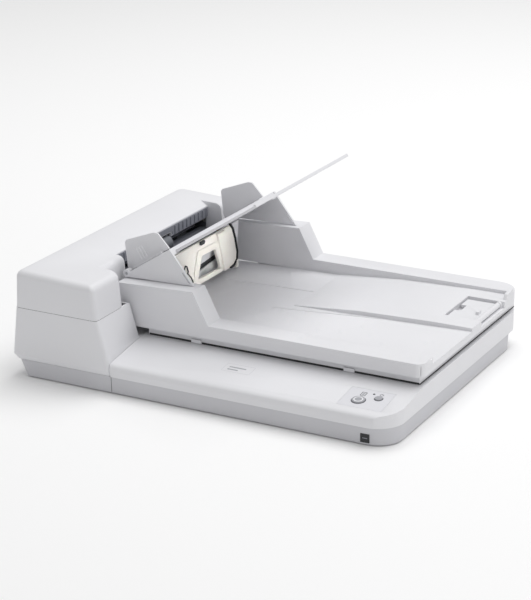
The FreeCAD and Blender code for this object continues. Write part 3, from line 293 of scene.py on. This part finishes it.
def rounded(points, radius):
    """A closed outline with its corners rounded to a radius in mm."""
    result = []
    for index, corner in enumerate(points):
        corner = Vector(corner)
        before = (Vector(points[index - 1]) - corner).normalized()
        after = (Vector(points[(index + 1) % len(points)]) - corner).normalized()
        half = before.angle(after) / 2
        reach = radius / math.tan(half)
        centre = corner + (before + after).normalized() * radius / math.sin(half)
        start, end = corner + before * reach - centre, corner + after * reach - centre
        for step in range(CORNER_STEPS + 1):
            arm = start.lerp(end, step / CORNER_STEPS).normalized() * radius
            result.append(centre + arm)
    return result


def arc(x, y, radius, start, end, steps=8):
    """Points of an arc, by its centre, its radius and its angles in degrees."""
    angles = [math.radians(start + (end - start) * step / steps) for step in range(steps + 1)]
    return [(x + radius * math.cos(angle), y + radius * math.sin(angle)) for angle in angles]


def circle(x, y, radius):
    """Outline of a circle."""
    return arc(x, y, radius, 0, 360, CIRCLE_STEPS)[:-1]


def oblong(x0, x1, y0, y1):
    """Outline of a rectangle."""
    return [(x0, y0), (x1, y0), (x1, y1), (x0, y1)]


def ribbon(path, width):
    """Outline of an even strip on the left of a path."""
    inner = []
    for index, (x, y) in enumerate(path):
        before, after = path[max(index - 1, 0)], path[min(index + 1, len(path) - 1)]
        along = Vector((after[0] - before[0], after[1] - before[1])).normalized()
        inner.append((x - along.y * width, y + along.x * width))
    return path + inner[::-1]


def cut_plate(outlines, low_face, high_face, place):
    """A flat plate between two heights: its first outline is the edge and the others are holes."""
    curve = bpy.data.curves.new("plate_outline", "CURVE")
    curve.dimensions = "2D"
    curve.fill_mode = "BOTH"
    curve.extrude = (high_face - low_face) / 2
    for outline in outlines:
        spline = curve.splines.new("POLY")
        spline.points.add(len(outline) - 1)
        for point, corner in zip(spline.points, outline):
            point.co = (corner[0], corner[1], 0, 1)
        spline.use_cyclic_u = True
    holder = bpy.data.objects.new("plate_outline", curve)
    mesh = bpy.data.meshes.new_from_object(holder)
    bpy.data.objects.remove(holder)
    mesh.transform(place @ Matrix.Translation((0, 0, (low_face + high_face) / 2)))
    work = bmesh.new()
    work.from_mesh(mesh)
    bmesh.ops.remove_doubles(work, verts=work.verts, dist=MERGE * MM)
    bmesh.ops.dissolve_limit(work, angle_limit=FLAT_ANGLE, verts=work.verts, edges=work.edges)
    bmesh.ops.recalc_face_normals(work, faces=work.faces)
    work.to_mesh(mesh)
    work.free()
    return shade(mesh)


def joined(meshes):
    """Several meshes as one."""
    work = bmesh.new()
    for mesh in meshes:
        work.from_mesh(mesh)
    made = bpy.data.meshes.new("joined")
    work.to_mesh(made)
    work.free()
    return shade(made)


def bar(length, width, height, place):
    """A small bar with its top edges broken, centred on its base."""
    foot = oblong(-length / 2, length / 2, -width / 2, width / 2)
    shoulder = height * 0.75
    top = [(x * (1 - 0.35 * height / length), y * 0.62) for x, y in foot]
    corners = [(x, y, 0) for x, y in foot] + [(x, y, shoulder) for x, y in foot]
    corners += [(x, y, height) for x, y in top]
    faces = [(3, 2, 1, 0), (8, 9, 10, 11)]
    for layer in (0, 4):
        for index in range(4):
            following = (index + 1) % 4
            faces.append((layer + index, layer + following, layer + 4 + following, layer + 4 + index))
    mesh = bpy.data.meshes.new("bar")
    mesh.from_pydata(corners, [], faces)
    mesh.transform(place)
    return mesh


# ------------------------------------------------------------ geometry nodes

def grown(name, tree, body, slot, **values):
    """Grows a tree of geometry nodes once and keeps the result as a plain piece."""
    holder = bpy.data.objects.new(name, bpy.data.meshes.new(name))
    bpy.context.scene.collection.objects.link(holder)
    growth = holder.modifiers.new("growth", "NODES")
    growth.node_group = tree
    values["Finish"] = FINISHES[slot]
    for item in tree.interface.items_tree:
        if item.item_type == "SOCKET" and item.in_out == "INPUT":
            growth[item.identifier] = values[item.name]
    ready = bpy.context.evaluated_depsgraph_get()
    mesh = bpy.data.meshes.new_from_object(holder.evaluated_get(ready))
    bpy.data.objects.remove(holder)
    mesh.name = name
    return piece(name, shade(mesh), body, slot)


def new_tree(name, inputs):
    """An empty tree with named inputs and one mesh output."""
    tree = bpy.data.node_groups.new(name, "GeometryNodeTree")
    for label, kind in inputs + [("Finish", "NodeSocketMaterial")]:
        tree.interface.new_socket(label, in_out="INPUT", socket_type=kind)
    tree.interface.new_socket("Mesh", in_out="OUTPUT", socket_type="NodeSocketGeometry")
    return tree, tree.nodes.new("NodeGroupInput").outputs


def close_tree(tree, geometry, given):
    """Ends a tree with real meshes that carry their finish."""
    real = add(tree, "GeometryNodeRealizeInstances", {"Geometry": geometry}).outputs["Geometry"]
    done = add(tree, "GeometryNodeSetMaterial", {"Geometry": real, "Material": given["Finish"]})
    add(tree, "NodeGroupOutput", {"Mesh": done.outputs["Geometry"]})
    return tree


def row_tree():
    """Copies of one unit in a straight row."""
    tree, given = new_tree("row_of_units", [("Unit", "NodeSocketObject"), ("Count", "NodeSocketInt"),
                                            ("Start", "NodeSocketVector"), ("Step", "NodeSocketVector")])
    line = add(tree, "GeometryNodeMeshLine", {"Count": given["Count"], "Start Location": given["Start"],
                                              "Offset": given["Step"]}, mode="OFFSET").outputs["Mesh"]
    unit = add(tree, "GeometryNodeObjectInfo", {"Object": given["Unit"]}).outputs["Geometry"]
    copies = add(tree, "GeometryNodeInstanceOnPoints", {"Points": line, "Instance": unit})
    return close_tree(tree, copies.outputs["Instances"], given)


def bead_tree():
    """A round bead of one radius along a line."""
    tree, given = new_tree("bead_along_line", [("Line", "NodeSocketObject"), ("Radius", "NodeSocketFloat"),
                                               ("Sides", "NodeSocketInt")])
    line = add(tree, "GeometryNodeObjectInfo", {"Object": given["Line"]}).outputs["Geometry"]
    ring = add(tree, "GeometryNodeCurvePrimitiveCircle", {"Resolution": given["Sides"],
                                                          "Radius": given["Radius"]}).outputs["Curve"]
    tube = add(tree, "GeometryNodeCurveToMesh", {"Curve": line, "Profile Curve": ring, "Fill Caps": True})
    return close_tree(tree, tube.outputs["Mesh"], given)


ROW = row_tree()
BEAD = bead_tree()


def row(name, unit, body, slot, count, start, step):
    """A straight row of one small mesh."""
    holder = bpy.data.objects.new(name + "_unit", unit)
    made = grown(name, ROW, body, slot, Unit=holder, Count=count, Start=start, Step=step)
    bpy.data.objects.remove(holder)
    return made


def bead(name, points, radius, body, slot):
    """A raised bead along a smooth line through the model."""
    curve = bpy.data.curves.new(name + "_line", "CURVE")
    curve.dimensions = "3D"
    spline = curve.splines.new("NURBS")
    spline.points.add(len(points) - 1)
    for point, place in zip(spline.points, points):
        point.co = (*place, 1)
    spline.order_u = 4
    spline.use_endpoint_u = True
    holder = bpy.data.objects.new(name + "_line", curve)
    made = grown(name, BEAD, body, slot, Line=holder, Radius=radius * MM, Sides=BEAD_SIDES)
    bpy.data.objects.remove(holder)
    return made


# ------------------------------------------------------------ finished shells

REAR_FACE = plane(at(0, DEPTH, 0), (1, 0, 0), (0, 0, 1))
LEVEL = plane(at(0, 0, 0), (1, 0, 0), (0, 1, 0))
ROUND_END = 0.49  # share of a slot's width: just under half, so that its corners stay apart
THROUGH_REAR = (-1.5, 4.5)
THROUGH_BOTTOM = (-1.0, 6.0)


def slots(first, count, pitch, width, ends, faces, place):
    """Round-ended slots side by side, as solids to cut with."""
    made = []
    for index in range(count):
        start = first + index * pitch
        edge = rounded(oblong(start, start + width, *ends), width * ROUND_END)
        made.append(cut_plate([edge], *faces, place))
    return joined(made)


def slotted(mesh, cutters):
    """Cuts real slots through a shell's wall."""
    shell = bpy.data.objects.new("shell", mesh)
    tool = bpy.data.objects.new("slot_cutters", cutters)
    for made in (shell, tool):
        bpy.context.scene.collection.objects.link(made)
    cut = shell.modifiers.new("slots", "BOOLEAN")
    cut.operation = "DIFFERENCE"
    cut.solver = "EXACT"
    cut.object = tool
    ready = bpy.context.evaluated_depsgraph_get()
    result = bpy.data.meshes.new_from_object(shell.evaluated_get(ready))
    bpy.data.objects.remove(shell)
    bpy.data.objects.remove(tool)
    return shade(result)


VENTS = {
    "upper_frame": slots(206, 17, 6.0, 2.2, (24.5, 36.0), THROUGH_REAR, REAR_FACE),
    "feeder_housing": slots(24, 9, 6.4, 2.2, (47.0, 68.0), THROUGH_REAR, REAR_FACE),
    "lower_case": joined([slots(x, 12, 8.0, 2.6, (60.0, 92.0), THROUGH_BOTTOM, LEVEL) for x in (140, 262)]),
}
SLOTS = {part["node"]: part["material_slot"] for part in frame["record"]["subparts"]}
# edge radius in mm of each piece; the rest are only smoothed
EDGES = {
    "feeder_housing": 0.8, "feeder_top_cover": 1.0, "upper_frame": 0.7, "lower_case": 0.7,
    "stacker_tray": 0.8, "cover_bottom_panel": 0.5, "document_pad": 0.8, "rubber_feet": 0.4,
    "cover_bumpers": 0.4, "chute_sides": 0.35, "chute_plate": 0.4, "extension_plate": 0.35,
    "front_guide": 0.3, "rear_guide": 0.3, "stacker_stopper": 0.3, "scan_button": 0.35, "power_button": 0.3,
    "scan_carriage": 0.4, "brake_holder": 0.3, "lower_paper_guide": 0.3, "upper_paper_guide": 0.3,
    "turn_guides": 0.3, "feeder_sensor": 0.3, "power_inlet": 0.2, "data_socket": 0.2, "operator_panel": 0.12,
}


def finished(node, width):
    """A smooth copy of a CAD piece with rounded edges, which stands for it."""
    mesh = welded(frame["nodes"][node].data.copy())
    if node in VENTS:
        mesh = slotted(mesh, VENTS[node])
    mesh.name = node + "_finished"
    made = piece(node + "_finished", mesh, body_of(node), SLOTS[node])
    if width:
        soften(made, width)
    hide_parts(node)
    return made


finished_pieces = {node: finished(node, EDGES.get(node, 0)) for node in SLOTS if node != "exit_panel"}
# the bumpers are moulded in the shade of the lid
finished_pieces["cover_bumpers"].data.materials[0] = FINISHES["case_abs"]

# ------------------------------------------------- exit wall under the chute

WALL_X, WALL_FOOT, WALL_LEAN = 106.0, 55.5, 0.06
WALL_NEAR, WALL_FAR, WALL_TOP = 98.5, 291.5, 107.5
# across the tray and up the wall in mm; out of the wall is towards the tray
WALL_PLANE = plane(at(WALL_X - WALL_LEAN * WALL_FOOT, 0, 0), (0, 1, 0), (WALL_LEAN, 0, 1))


def exit_wall():
    """Cream wall under the chute: an arched window, a slanted brace, a curved far edge and two feet."""
    foot = 56.2
    window = rounded([(202.5, 90.5), (196, 64.5), (249.5, 61.5), (233, 89.5)], 2.6)
    far_edge = [(274, foot), (281, 57.2), (286.5, 62), (286.5, 70), (279.5, 88), (272, 102), (266, WALL_TOP)]
    sheet = [(WALL_NEAR, WALL_TOP), (WALL_NEAR, foot)] + far_edge
    arch = rounded([(192, 98.5), (185, 57.5), (257, 57.5), (239, 97.5)], 5)
    brace = rounded([(234.5, 106.8), (255.5, 57), (267, 57), (251.5, 106.8)], 1.6)
    return [
        cut_plate([sheet, window], -1.1, 1.1, WALL_PLANE),
        cut_plate([arch, window], 1.0, 2.3, WALL_PLANE),
        cut_plate([brace], 1.0, 4.2, WALL_PLANE),
        cut_plate([oblong(WALL_NEAR, WALL_NEAR + 5.5, 50.5, 60)], -3.0, 2.0, WALL_PLANE),
        cut_plate([oblong(WALL_FAR - 4.0, WALL_FAR, 50.5, 60)], -3.0, 2.0, WALL_PLANE),
    ]


def exit_recess():
    """Plate behind the window, with the slit that the sheets leave by."""
    slit = rounded([(213, 73.5), (214, 67.0), (257, 70.0), (258, 76.5)], 1.2)
    return cut_plate([oblong(180, 276, 52, 100), slit], -8.2, -7.0, WALL_PLANE)


def far_wall():
    """Part of the housing seen past the wall's far edge."""
    return cut_plate([[(275.5, 107), (283, 90), (291.4, 66), (291.4, 107)]], -2.2, -0.6, WALL_PLANE)


def chute_catch():
    """Small dark catch at the top of the wall, under the chute."""
    edge = rounded([(196, 108.0), (197.5, 103.6), (206.5, 103.6), (208, 108.0)], 1.8)
    return cut_plate([edge], 0.8, 3.0, WALL_PLANE)


def far_edge_shadow():
    """Near-black strip that follows the wall's far edge: painted shadow of the gap round the wall's far edge
    and foot.
    """
    path = [(268.5, 108.0), (275.0, 101.5), (282.0, 88.0), (289.0, 70.0), (289.0, 61.5), (283.5, 55.6),
            (276.0, 54.4)]
    return cut_plate([ribbon(path, 1.3)], -1.6, 1.7, WALL_PLANE)


def sheet_flag():
    """Flag that the leaving sheets push: an open eye on a thin leg."""
    eye = rounded([(163.5, 83), (166, 90), (170.5, 88), (175, 80), (171.5, 76.5)], 1.5)
    hole = rounded([(165.1, 83.2), (166.8, 88), (169.7, 86.7), (173, 80.2), (171.2, 78.4)], 1.0)
    leg = ribbon([(172.5, 78.0), (181.0, 70.5), (190.5, 57.0)], 1.1)
    return joined([cut_plate(edges, 1.0, 1.9, WALL_PLANE) for edges in ([eye, hole], [leg])])


for index, mesh in enumerate(exit_wall()):
    section = piece(f"exit_wall_{index}", mesh, "document_cover", "guide_cream")
    soften(section, 0.35)
    if index == 0:
        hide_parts("exit_panel")

soften(piece("exit_recess", exit_recess(), "document_cover", "skirt_abs"), 0.3)
# black plate behind the exit slit: painted shadow seen through the slit
slit_shadow_plate = cut_plate([oblong(206, 270, 60, 84)], -10.6, -9.8, WALL_PLANE)
piece("exit_slit_back", slit_shadow_plate, "document_cover", "socket_black")
soften(piece("exit_far_wall", far_wall(), "document_cover", "case_abs"), 0.3)
soften(piece("chute_catch", chute_catch(), "document_cover", "socket_black"), 0.3)
# painted shadow along the exit wall's far edge
piece("exit_wall_edge_trim", far_edge_shadow(), "document_cover", "socket_black")
piece("sheet_flag", sheet_flag(), "document_cover", "socket_black")

# ------------------------------------------------------------ painted shadow strips

SHELL_LEFT, BLOCK_RIGHT, STEP_Y, COVER_RIGHT = -0.8, 99.0, 62.0, 76.7
SHADOW_INSET, SHADOW_WIDTH = 0.2, 1.3
SHADOW_LOW, SHADOW_TOP = 76.0, 77.4


def shadow_corner(x, y, radius, start):
    """Quarter turn of the painted split shadow inside a shell's corner, by the corner's centre and radius."""
    return arc(x, y, radius - SHADOW_INSET, start, start + 90)


def split_shadow_line():
    """Near-black strip on the rim of the feeder housing, painted shadow of the split between housing and
    cover; open at the hinge knuckles and at the inlet.
    """
    left = SHELL_LEFT + SHADOW_INSET
    front = [(left, 42.0)] + shadow_corner(SHELL_LEFT + 6.0, 6.0, 6.0, 180)
    front += shadow_corner(BLOCK_RIGHT - 4.6, 4.6, 4.6, 270)
    front += shadow_corner(BLOCK_RIGHT - 16.0, STEP_Y - 16.0, 16.0, 0) + [(78.0, STEP_Y - SHADOW_INSET)]
    rear = [(COVER_RIGHT - SHADOW_INSET, 330.0)] + shadow_corner(COVER_RIGHT - 10.0, DEPTH - 10.0, 10.0, 0)
    rear += shadow_corner(SHELL_LEFT + 8.0, DEPTH - 8.0, 8.0, 90) + [(left, 304.5)]
    side = [(left, 273.5), (left, 72.5)]
    strips = [ribbon(path, SHADOW_WIDTH) for path in (front, rear, side)]
    return joined([cut_plate([strip], SHADOW_LOW, SHADOW_TOP, LEVEL) for strip in strips])


def lid_edge_shadow():
    """Thin near-black strip under the lid's front and right edges: painted shadow of the gap between the lid
    and the base.
    """
    front = cut_plate([oblong(117.0, 426.8, 76.0, 76.55)], 41.25, 43.1, LEVEL)
    right = cut_plate([oblong(426.95, 427.5, 76.8, 334.0)], 41.25, 42.3, LEVEL)
    return joined([front, right])


# near-black strip in the split under the feeder cover: painted shadow of the split line
piece("cover_split_seal", split_shadow_line(), "base", "socket_black")
# painted shadow under the lid's front and right edges
piece("cover_dust_lip", lid_edge_shadow(), "document_cover", "socket_black")

# ------------------------------------------------------------- feeder inlet

INLET_FACE = plane(at(56.0, 0, 0), (0, 1, 0), (0, 0, 1))
INLET_NEAR, INLET_FAR, INLET_LOW, INLET_TOP = 101, 312.5, 98.2, 109.0
RIB_COUNT, RIB_PITCH = 9, 9.0


def inlet_liner():
    """Blue-grey plate on the inlet's rear wall, notched in the middle for the pick roller: the paper path's
    blue-grey, darkened as painted shade of the inlet.
    """
    edge = [(INLET_NEAR, INLET_TOP), (INLET_NEAR, INLET_LOW), (183, INLET_LOW), (183, 103), (230, 103),
            (230, INLET_LOW), (INLET_FAR, INLET_LOW), (INLET_FAR, INLET_TOP)]
    return cut_plate([edge], 0.05, 0.8, INLET_FACE)


# blue-grey plate that paints the inlet's rear wall in shade
soften(piece("inlet_liner", inlet_liner(), "feeder_cover", "inner_grey"), 0.2)
for side, first in (("near", 108), ("far", 236)):
    rib = bar(9.5, 1.2, 1.3, Matrix.Rotation(math.radians(90), 4, "Y") @ Matrix.Scale(MM, 4))
    row(f"inlet_ribs_{side}", rib, "feeder_cover", "inner_grey", RIB_COUNT, at(56.75, first, 103.4),
        (0, RIB_PITCH * MM, 0))

# -------------------------------------------------------------- side guides

CHUTE_ANGLE = math.radians(33.5)
CHUTE_X, CHUTE_Z = 79.0, 97.5
GRIP_PITCH = 3.9


def on_chute(along, above):
    """A point over the chute's front edge: along its slope and above its surface, in mm."""
    x = CHUTE_X + along * math.cos(CHUTE_ANGLE) - above * math.sin(CHUTE_ANGLE)
    z = CHUTE_Z + along * math.sin(CHUTE_ANGLE) + above * math.cos(CHUTE_ANGLE)
    return at(x, 0, z)


grip_step = Vector((math.cos(CHUTE_ANGLE), 0, math.sin(CHUTE_ANGLE))) * GRIP_PITCH * MM
for guide, side in (("front_guide", -1), ("rear_guide", 1)):
    guide_low, guide_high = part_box(guide)
    upright = Matrix.Rotation(math.radians(90), 4, "Z") @ Matrix.Scale(MM, 4)
    outwards = Matrix.Rotation(math.radians(-90 * side), 4, "X")
    unit = bar(13.0, 0.9, 0.7, Matrix.Rotation(-CHUTE_ANGLE, 4, "Y") @ outwards @ upright)
    first = on_chute(26.5, 11.5)
    first.y = (guide_low.y if side < 0 else guide_high.y) - side * 0.05 * MM
    row(f"{guide}_ribs", unit, guide, "case_abs", 3, first, grip_step)

# ----------------------------------------------------------- operator strip

STRIP_FRONT_Y, STRIP_FRONT_Z = 6.5, 32.4
STRIP_BACK_Y, STRIP_BACK_Z = 76.5, 41.0
STRIP_SLOPE = math.atan2(STRIP_BACK_Z - STRIP_FRONT_Z, STRIP_BACK_Y - STRIP_FRONT_Y)
STRIP_UP = (0, math.cos(STRIP_SLOPE), math.sin(STRIP_SLOPE))
STRIP = plane(at(0, STRIP_FRONT_Y, STRIP_FRONT_Z), (1, 0, 0), STRIP_UP)
SCAN_BUTTON, SCAN_RADIUS = (383.5, 20.0), 6.8
POWER_BUTTON, POWER_RADIUS = (401.0, 29.5), 3.9
# dark grey of the printed symbols, also used as painted shade in the gaps round the buttons
INK_AND_SHADE = moulded("ink_print_and_painted_shade", "#5C5E63", "#66686D", 0.5, 0.9, 0.004)


def dark_mark(name, mesh):
    """A thin dark mark on the strip: ink print for the symbols, painted shade for the gaps round the buttons.
    """
    mark = piece(name, mesh, "base", "button_grey")
    mark.data.materials[0] = INK_AND_SHADE


def ring(place, inner, outer, low_face, high_face):
    """Flat ring on the strip."""
    return cut_plate([circle(*place, outer), circle(*place, inner)], low_face, high_face, STRIP)


def panel_symbols():
    """Plain page and switch symbols beside the two buttons."""
    page = [rounded(oblong(380.4, 386.0, 29.6, 37.0), 0.7), rounded(oblong(381.1, 385.3, 30.3, 36.3), 0.4)]
    lines = [oblong(381.9, 384.5, y, y + 0.45) for y in (31.7, 33.0, 34.3)]
    switch = arc(401, 37.4, 2.1, 120, 420, 20) + arc(401, 37.4, 1.55, 420, 120, 20)
    stem = rounded(oblong(400.7, 401.3, 37.6, 39.9), 0.2)
    plates = [page, [switch], [stem]] + [[line] for line in lines]
    return joined([cut_plate(plate, 0.02, 0.09, STRIP) for plate in plates])


def name_plate():
    """Outline of a name plate that is left blank."""
    edge = rounded(oblong(226.0, 258.0, 27.0, 43.0), 1.0)
    hole = rounded(oblong(226.3, 257.7, 27.3, 42.7), 0.9)
    return cut_plate([edge, hole], 0.0, 0.06, STRIP)


def name_bars():
    """Two plain bars in place of a name."""
    left, height = 231.0, 1.9
    bars = [rounded(oblong(left, left + run, y, y + height), 0.5) for y, run in ((35.6, 19.0), (30.6, 12.0))]
    return joined([cut_plate([edge], 0.0, 0.07, STRIP) for edge in bars])


dark_mark("panel_symbols", panel_symbols())
piece("blank_name_plate", name_plate(), "base", "skirt_abs")
piece("blank_name_bars", name_bars(), "base", "button_grey")
# the dark rings round the buttons are painted shade of the gap each button sits in
for button, place, radius in (("scan", SCAN_BUTTON, SCAN_RADIUS), ("power", POWER_BUTTON, POWER_RADIUS)):
    dark_mark(f"{button}_button_collar", ring(place, radius + 0.15, radius + 0.8, 0.0, 0.06))
soften(piece("scan_button_ring", ring(SCAN_BUTTON, 3.6, 5.1, 1.1, 1.32), "scan_button", "case_abs"), 0.18)

# -------------------------------------------------------------------- skirt

# the skirt leans forward as it rises; its plane is centred on the dark label near the right corner
LABEL_X, LABEL_Y, LABEL_Z, SKIRT_LEAN = 402.5, 1.45, 7.6, -0.045
SKIRT_FACE = plane(at(LABEL_X, LABEL_Y, LABEL_Z), (1, 0, 0), (0, SKIRT_LEAN, 1))
LABEL_WIDTH, LABEL_HEIGHT = 9.8, 9.4
SEAM_X, SEAM_WIDTH = 114.3, 0.5

label_edge = rounded(oblong(-LABEL_WIDTH / 2, LABEL_WIDTH / 2, -LABEL_HEIGHT / 2, LABEL_HEIGHT / 2), 0.5)
piece("skirt_label", cut_plate([label_edge], 0.05, 0.3, SKIRT_FACE), "base", "socket_black")
label_bar = rounded(oblong(-2.6, 2.8, -0.3, 0.5), 0.3)
piece("skirt_label_bar", cut_plate([label_bar], 0.28, 0.36, SKIRT_FACE), "base", "inner_grey")
# near-black strip flush in the skirt at the seam of the two lower cases: painted shadow of the seam's groove
seam = oblong(SEAM_X - LABEL_X, SEAM_X + SEAM_WIDTH - LABEL_X, -6.0, 11.2)
piece("skirt_seam", cut_plate([seam], -0.5, 0.0, SKIRT_FACE), "base", "socket_black")

# ------------------------------------------------------------- stacker floor

FLOOR_LEFT, FLOOR_LOW, FLOOR_HIGH = 90.0, 48.0, 57.5
RIDGES = {
    "rear": [(112, 252), (150, 251.6), (190, 251), (224, 250)],
    "front": [(205, 186), (222, 187), (262, 191), (300, 195.5), (330, 198.5)],
}


def floor_height(x):
    """Height of the stacker's floor in mm at a distance from the left end."""
    return FLOOR_LOW + (x - FLOOR_LEFT) / (RIGHT_END - FLOOR_LEFT) * (FLOOR_HIGH - FLOOR_LOW)


for side, run in RIDGES.items():
    path = [at(x, y, floor_height(x) - 0.1) for x, y in run]
    bead(f"floor_ridge_{side}", path, 0.95, "document_cover", "case_abs")

# ------------------------------------------------------------ stage, camera

STAGE_HALF = 12.0
SKY_STRENGTH = 0.5

floor_finish, _, floor_shader, _ = blank("pale_floor", Roughness=0.9)
floor_shader.inputs["Base Color"].default_value = linear("#FAFAFA")
floor_mesh = bpy.data.meshes.new("floor")
floor_corners = [(x, y, 0.0) for x, y in oblong(-STAGE_HALF, STAGE_HALF, -STAGE_HALF, STAGE_HALF)]
floor_mesh.from_pydata(floor_corners, [], [(0, 1, 2, 3)])
floor_mesh.materials.append(floor_finish)
floor = bpy.data.objects.new("floor", floor_mesh)
bpy.context.scene.collection.objects.link(floor)

world = bpy.data.worlds.new("soft_sky")
world.use_nodes = True
world.node_tree.nodes["Background"].inputs["Color"].default_value = (1.0, 1.0, 1.0, 1.0)
world.node_tree.nodes["Background"].inputs["Strength"].default_value = SKY_STRENGTH
bpy.context.scene.world = world


def lamp(name, place, aim, size, power, spread_angle=180):
    """A soft light that faces a point, and spreads by an angle in degrees."""
    light = bpy.data.lights.new(name, "AREA")
    light.size = size
    light.spread = math.radians(spread_angle)
    light.energy = power
    made = bpy.data.objects.new(name, light)
    made.location = place
    made.rotation_euler = (Vector(aim) - Vector(place)).to_track_quat("-Z", "Y").to_euler()
    bpy.context.scene.collection.objects.link(made)


lamp("overhead", (0.3, 0.9, 2.6), (0.0, 0.0, 0.0), 2.4, 52)
lamp("side_fill", (2.6, 0.2, 1.4), (0.0, 0.0, 0.1), 1.6, 0.8)
lamp("chute_fill", (1.5, -0.5, 0.5), (-0.1, 0.0, 0.08), 0.5, 1.5)
lamp("exit_fill", (1.5, -0.5, 0.32), (-0.105, 0.04, 0.088), 0.05, 0.015, 5)

camera = bpy.data.objects.new("camera", bpy.data.cameras.new("camera"))
camera.location = (0.9602, -1.85997, 0.81035)
camera.rotation_euler = Vector((-0.4350, 0.8356, -0.3355)).to_track_quat("-Z", "Y").to_euler()
camera.data.sensor_width = 36.0
camera.data.lens = 124.46
bpy.context.scene.collection.objects.link(camera)
bpy.context.scene.camera = camera
bpy.context.scene.view_settings.view_transform = "Standard"
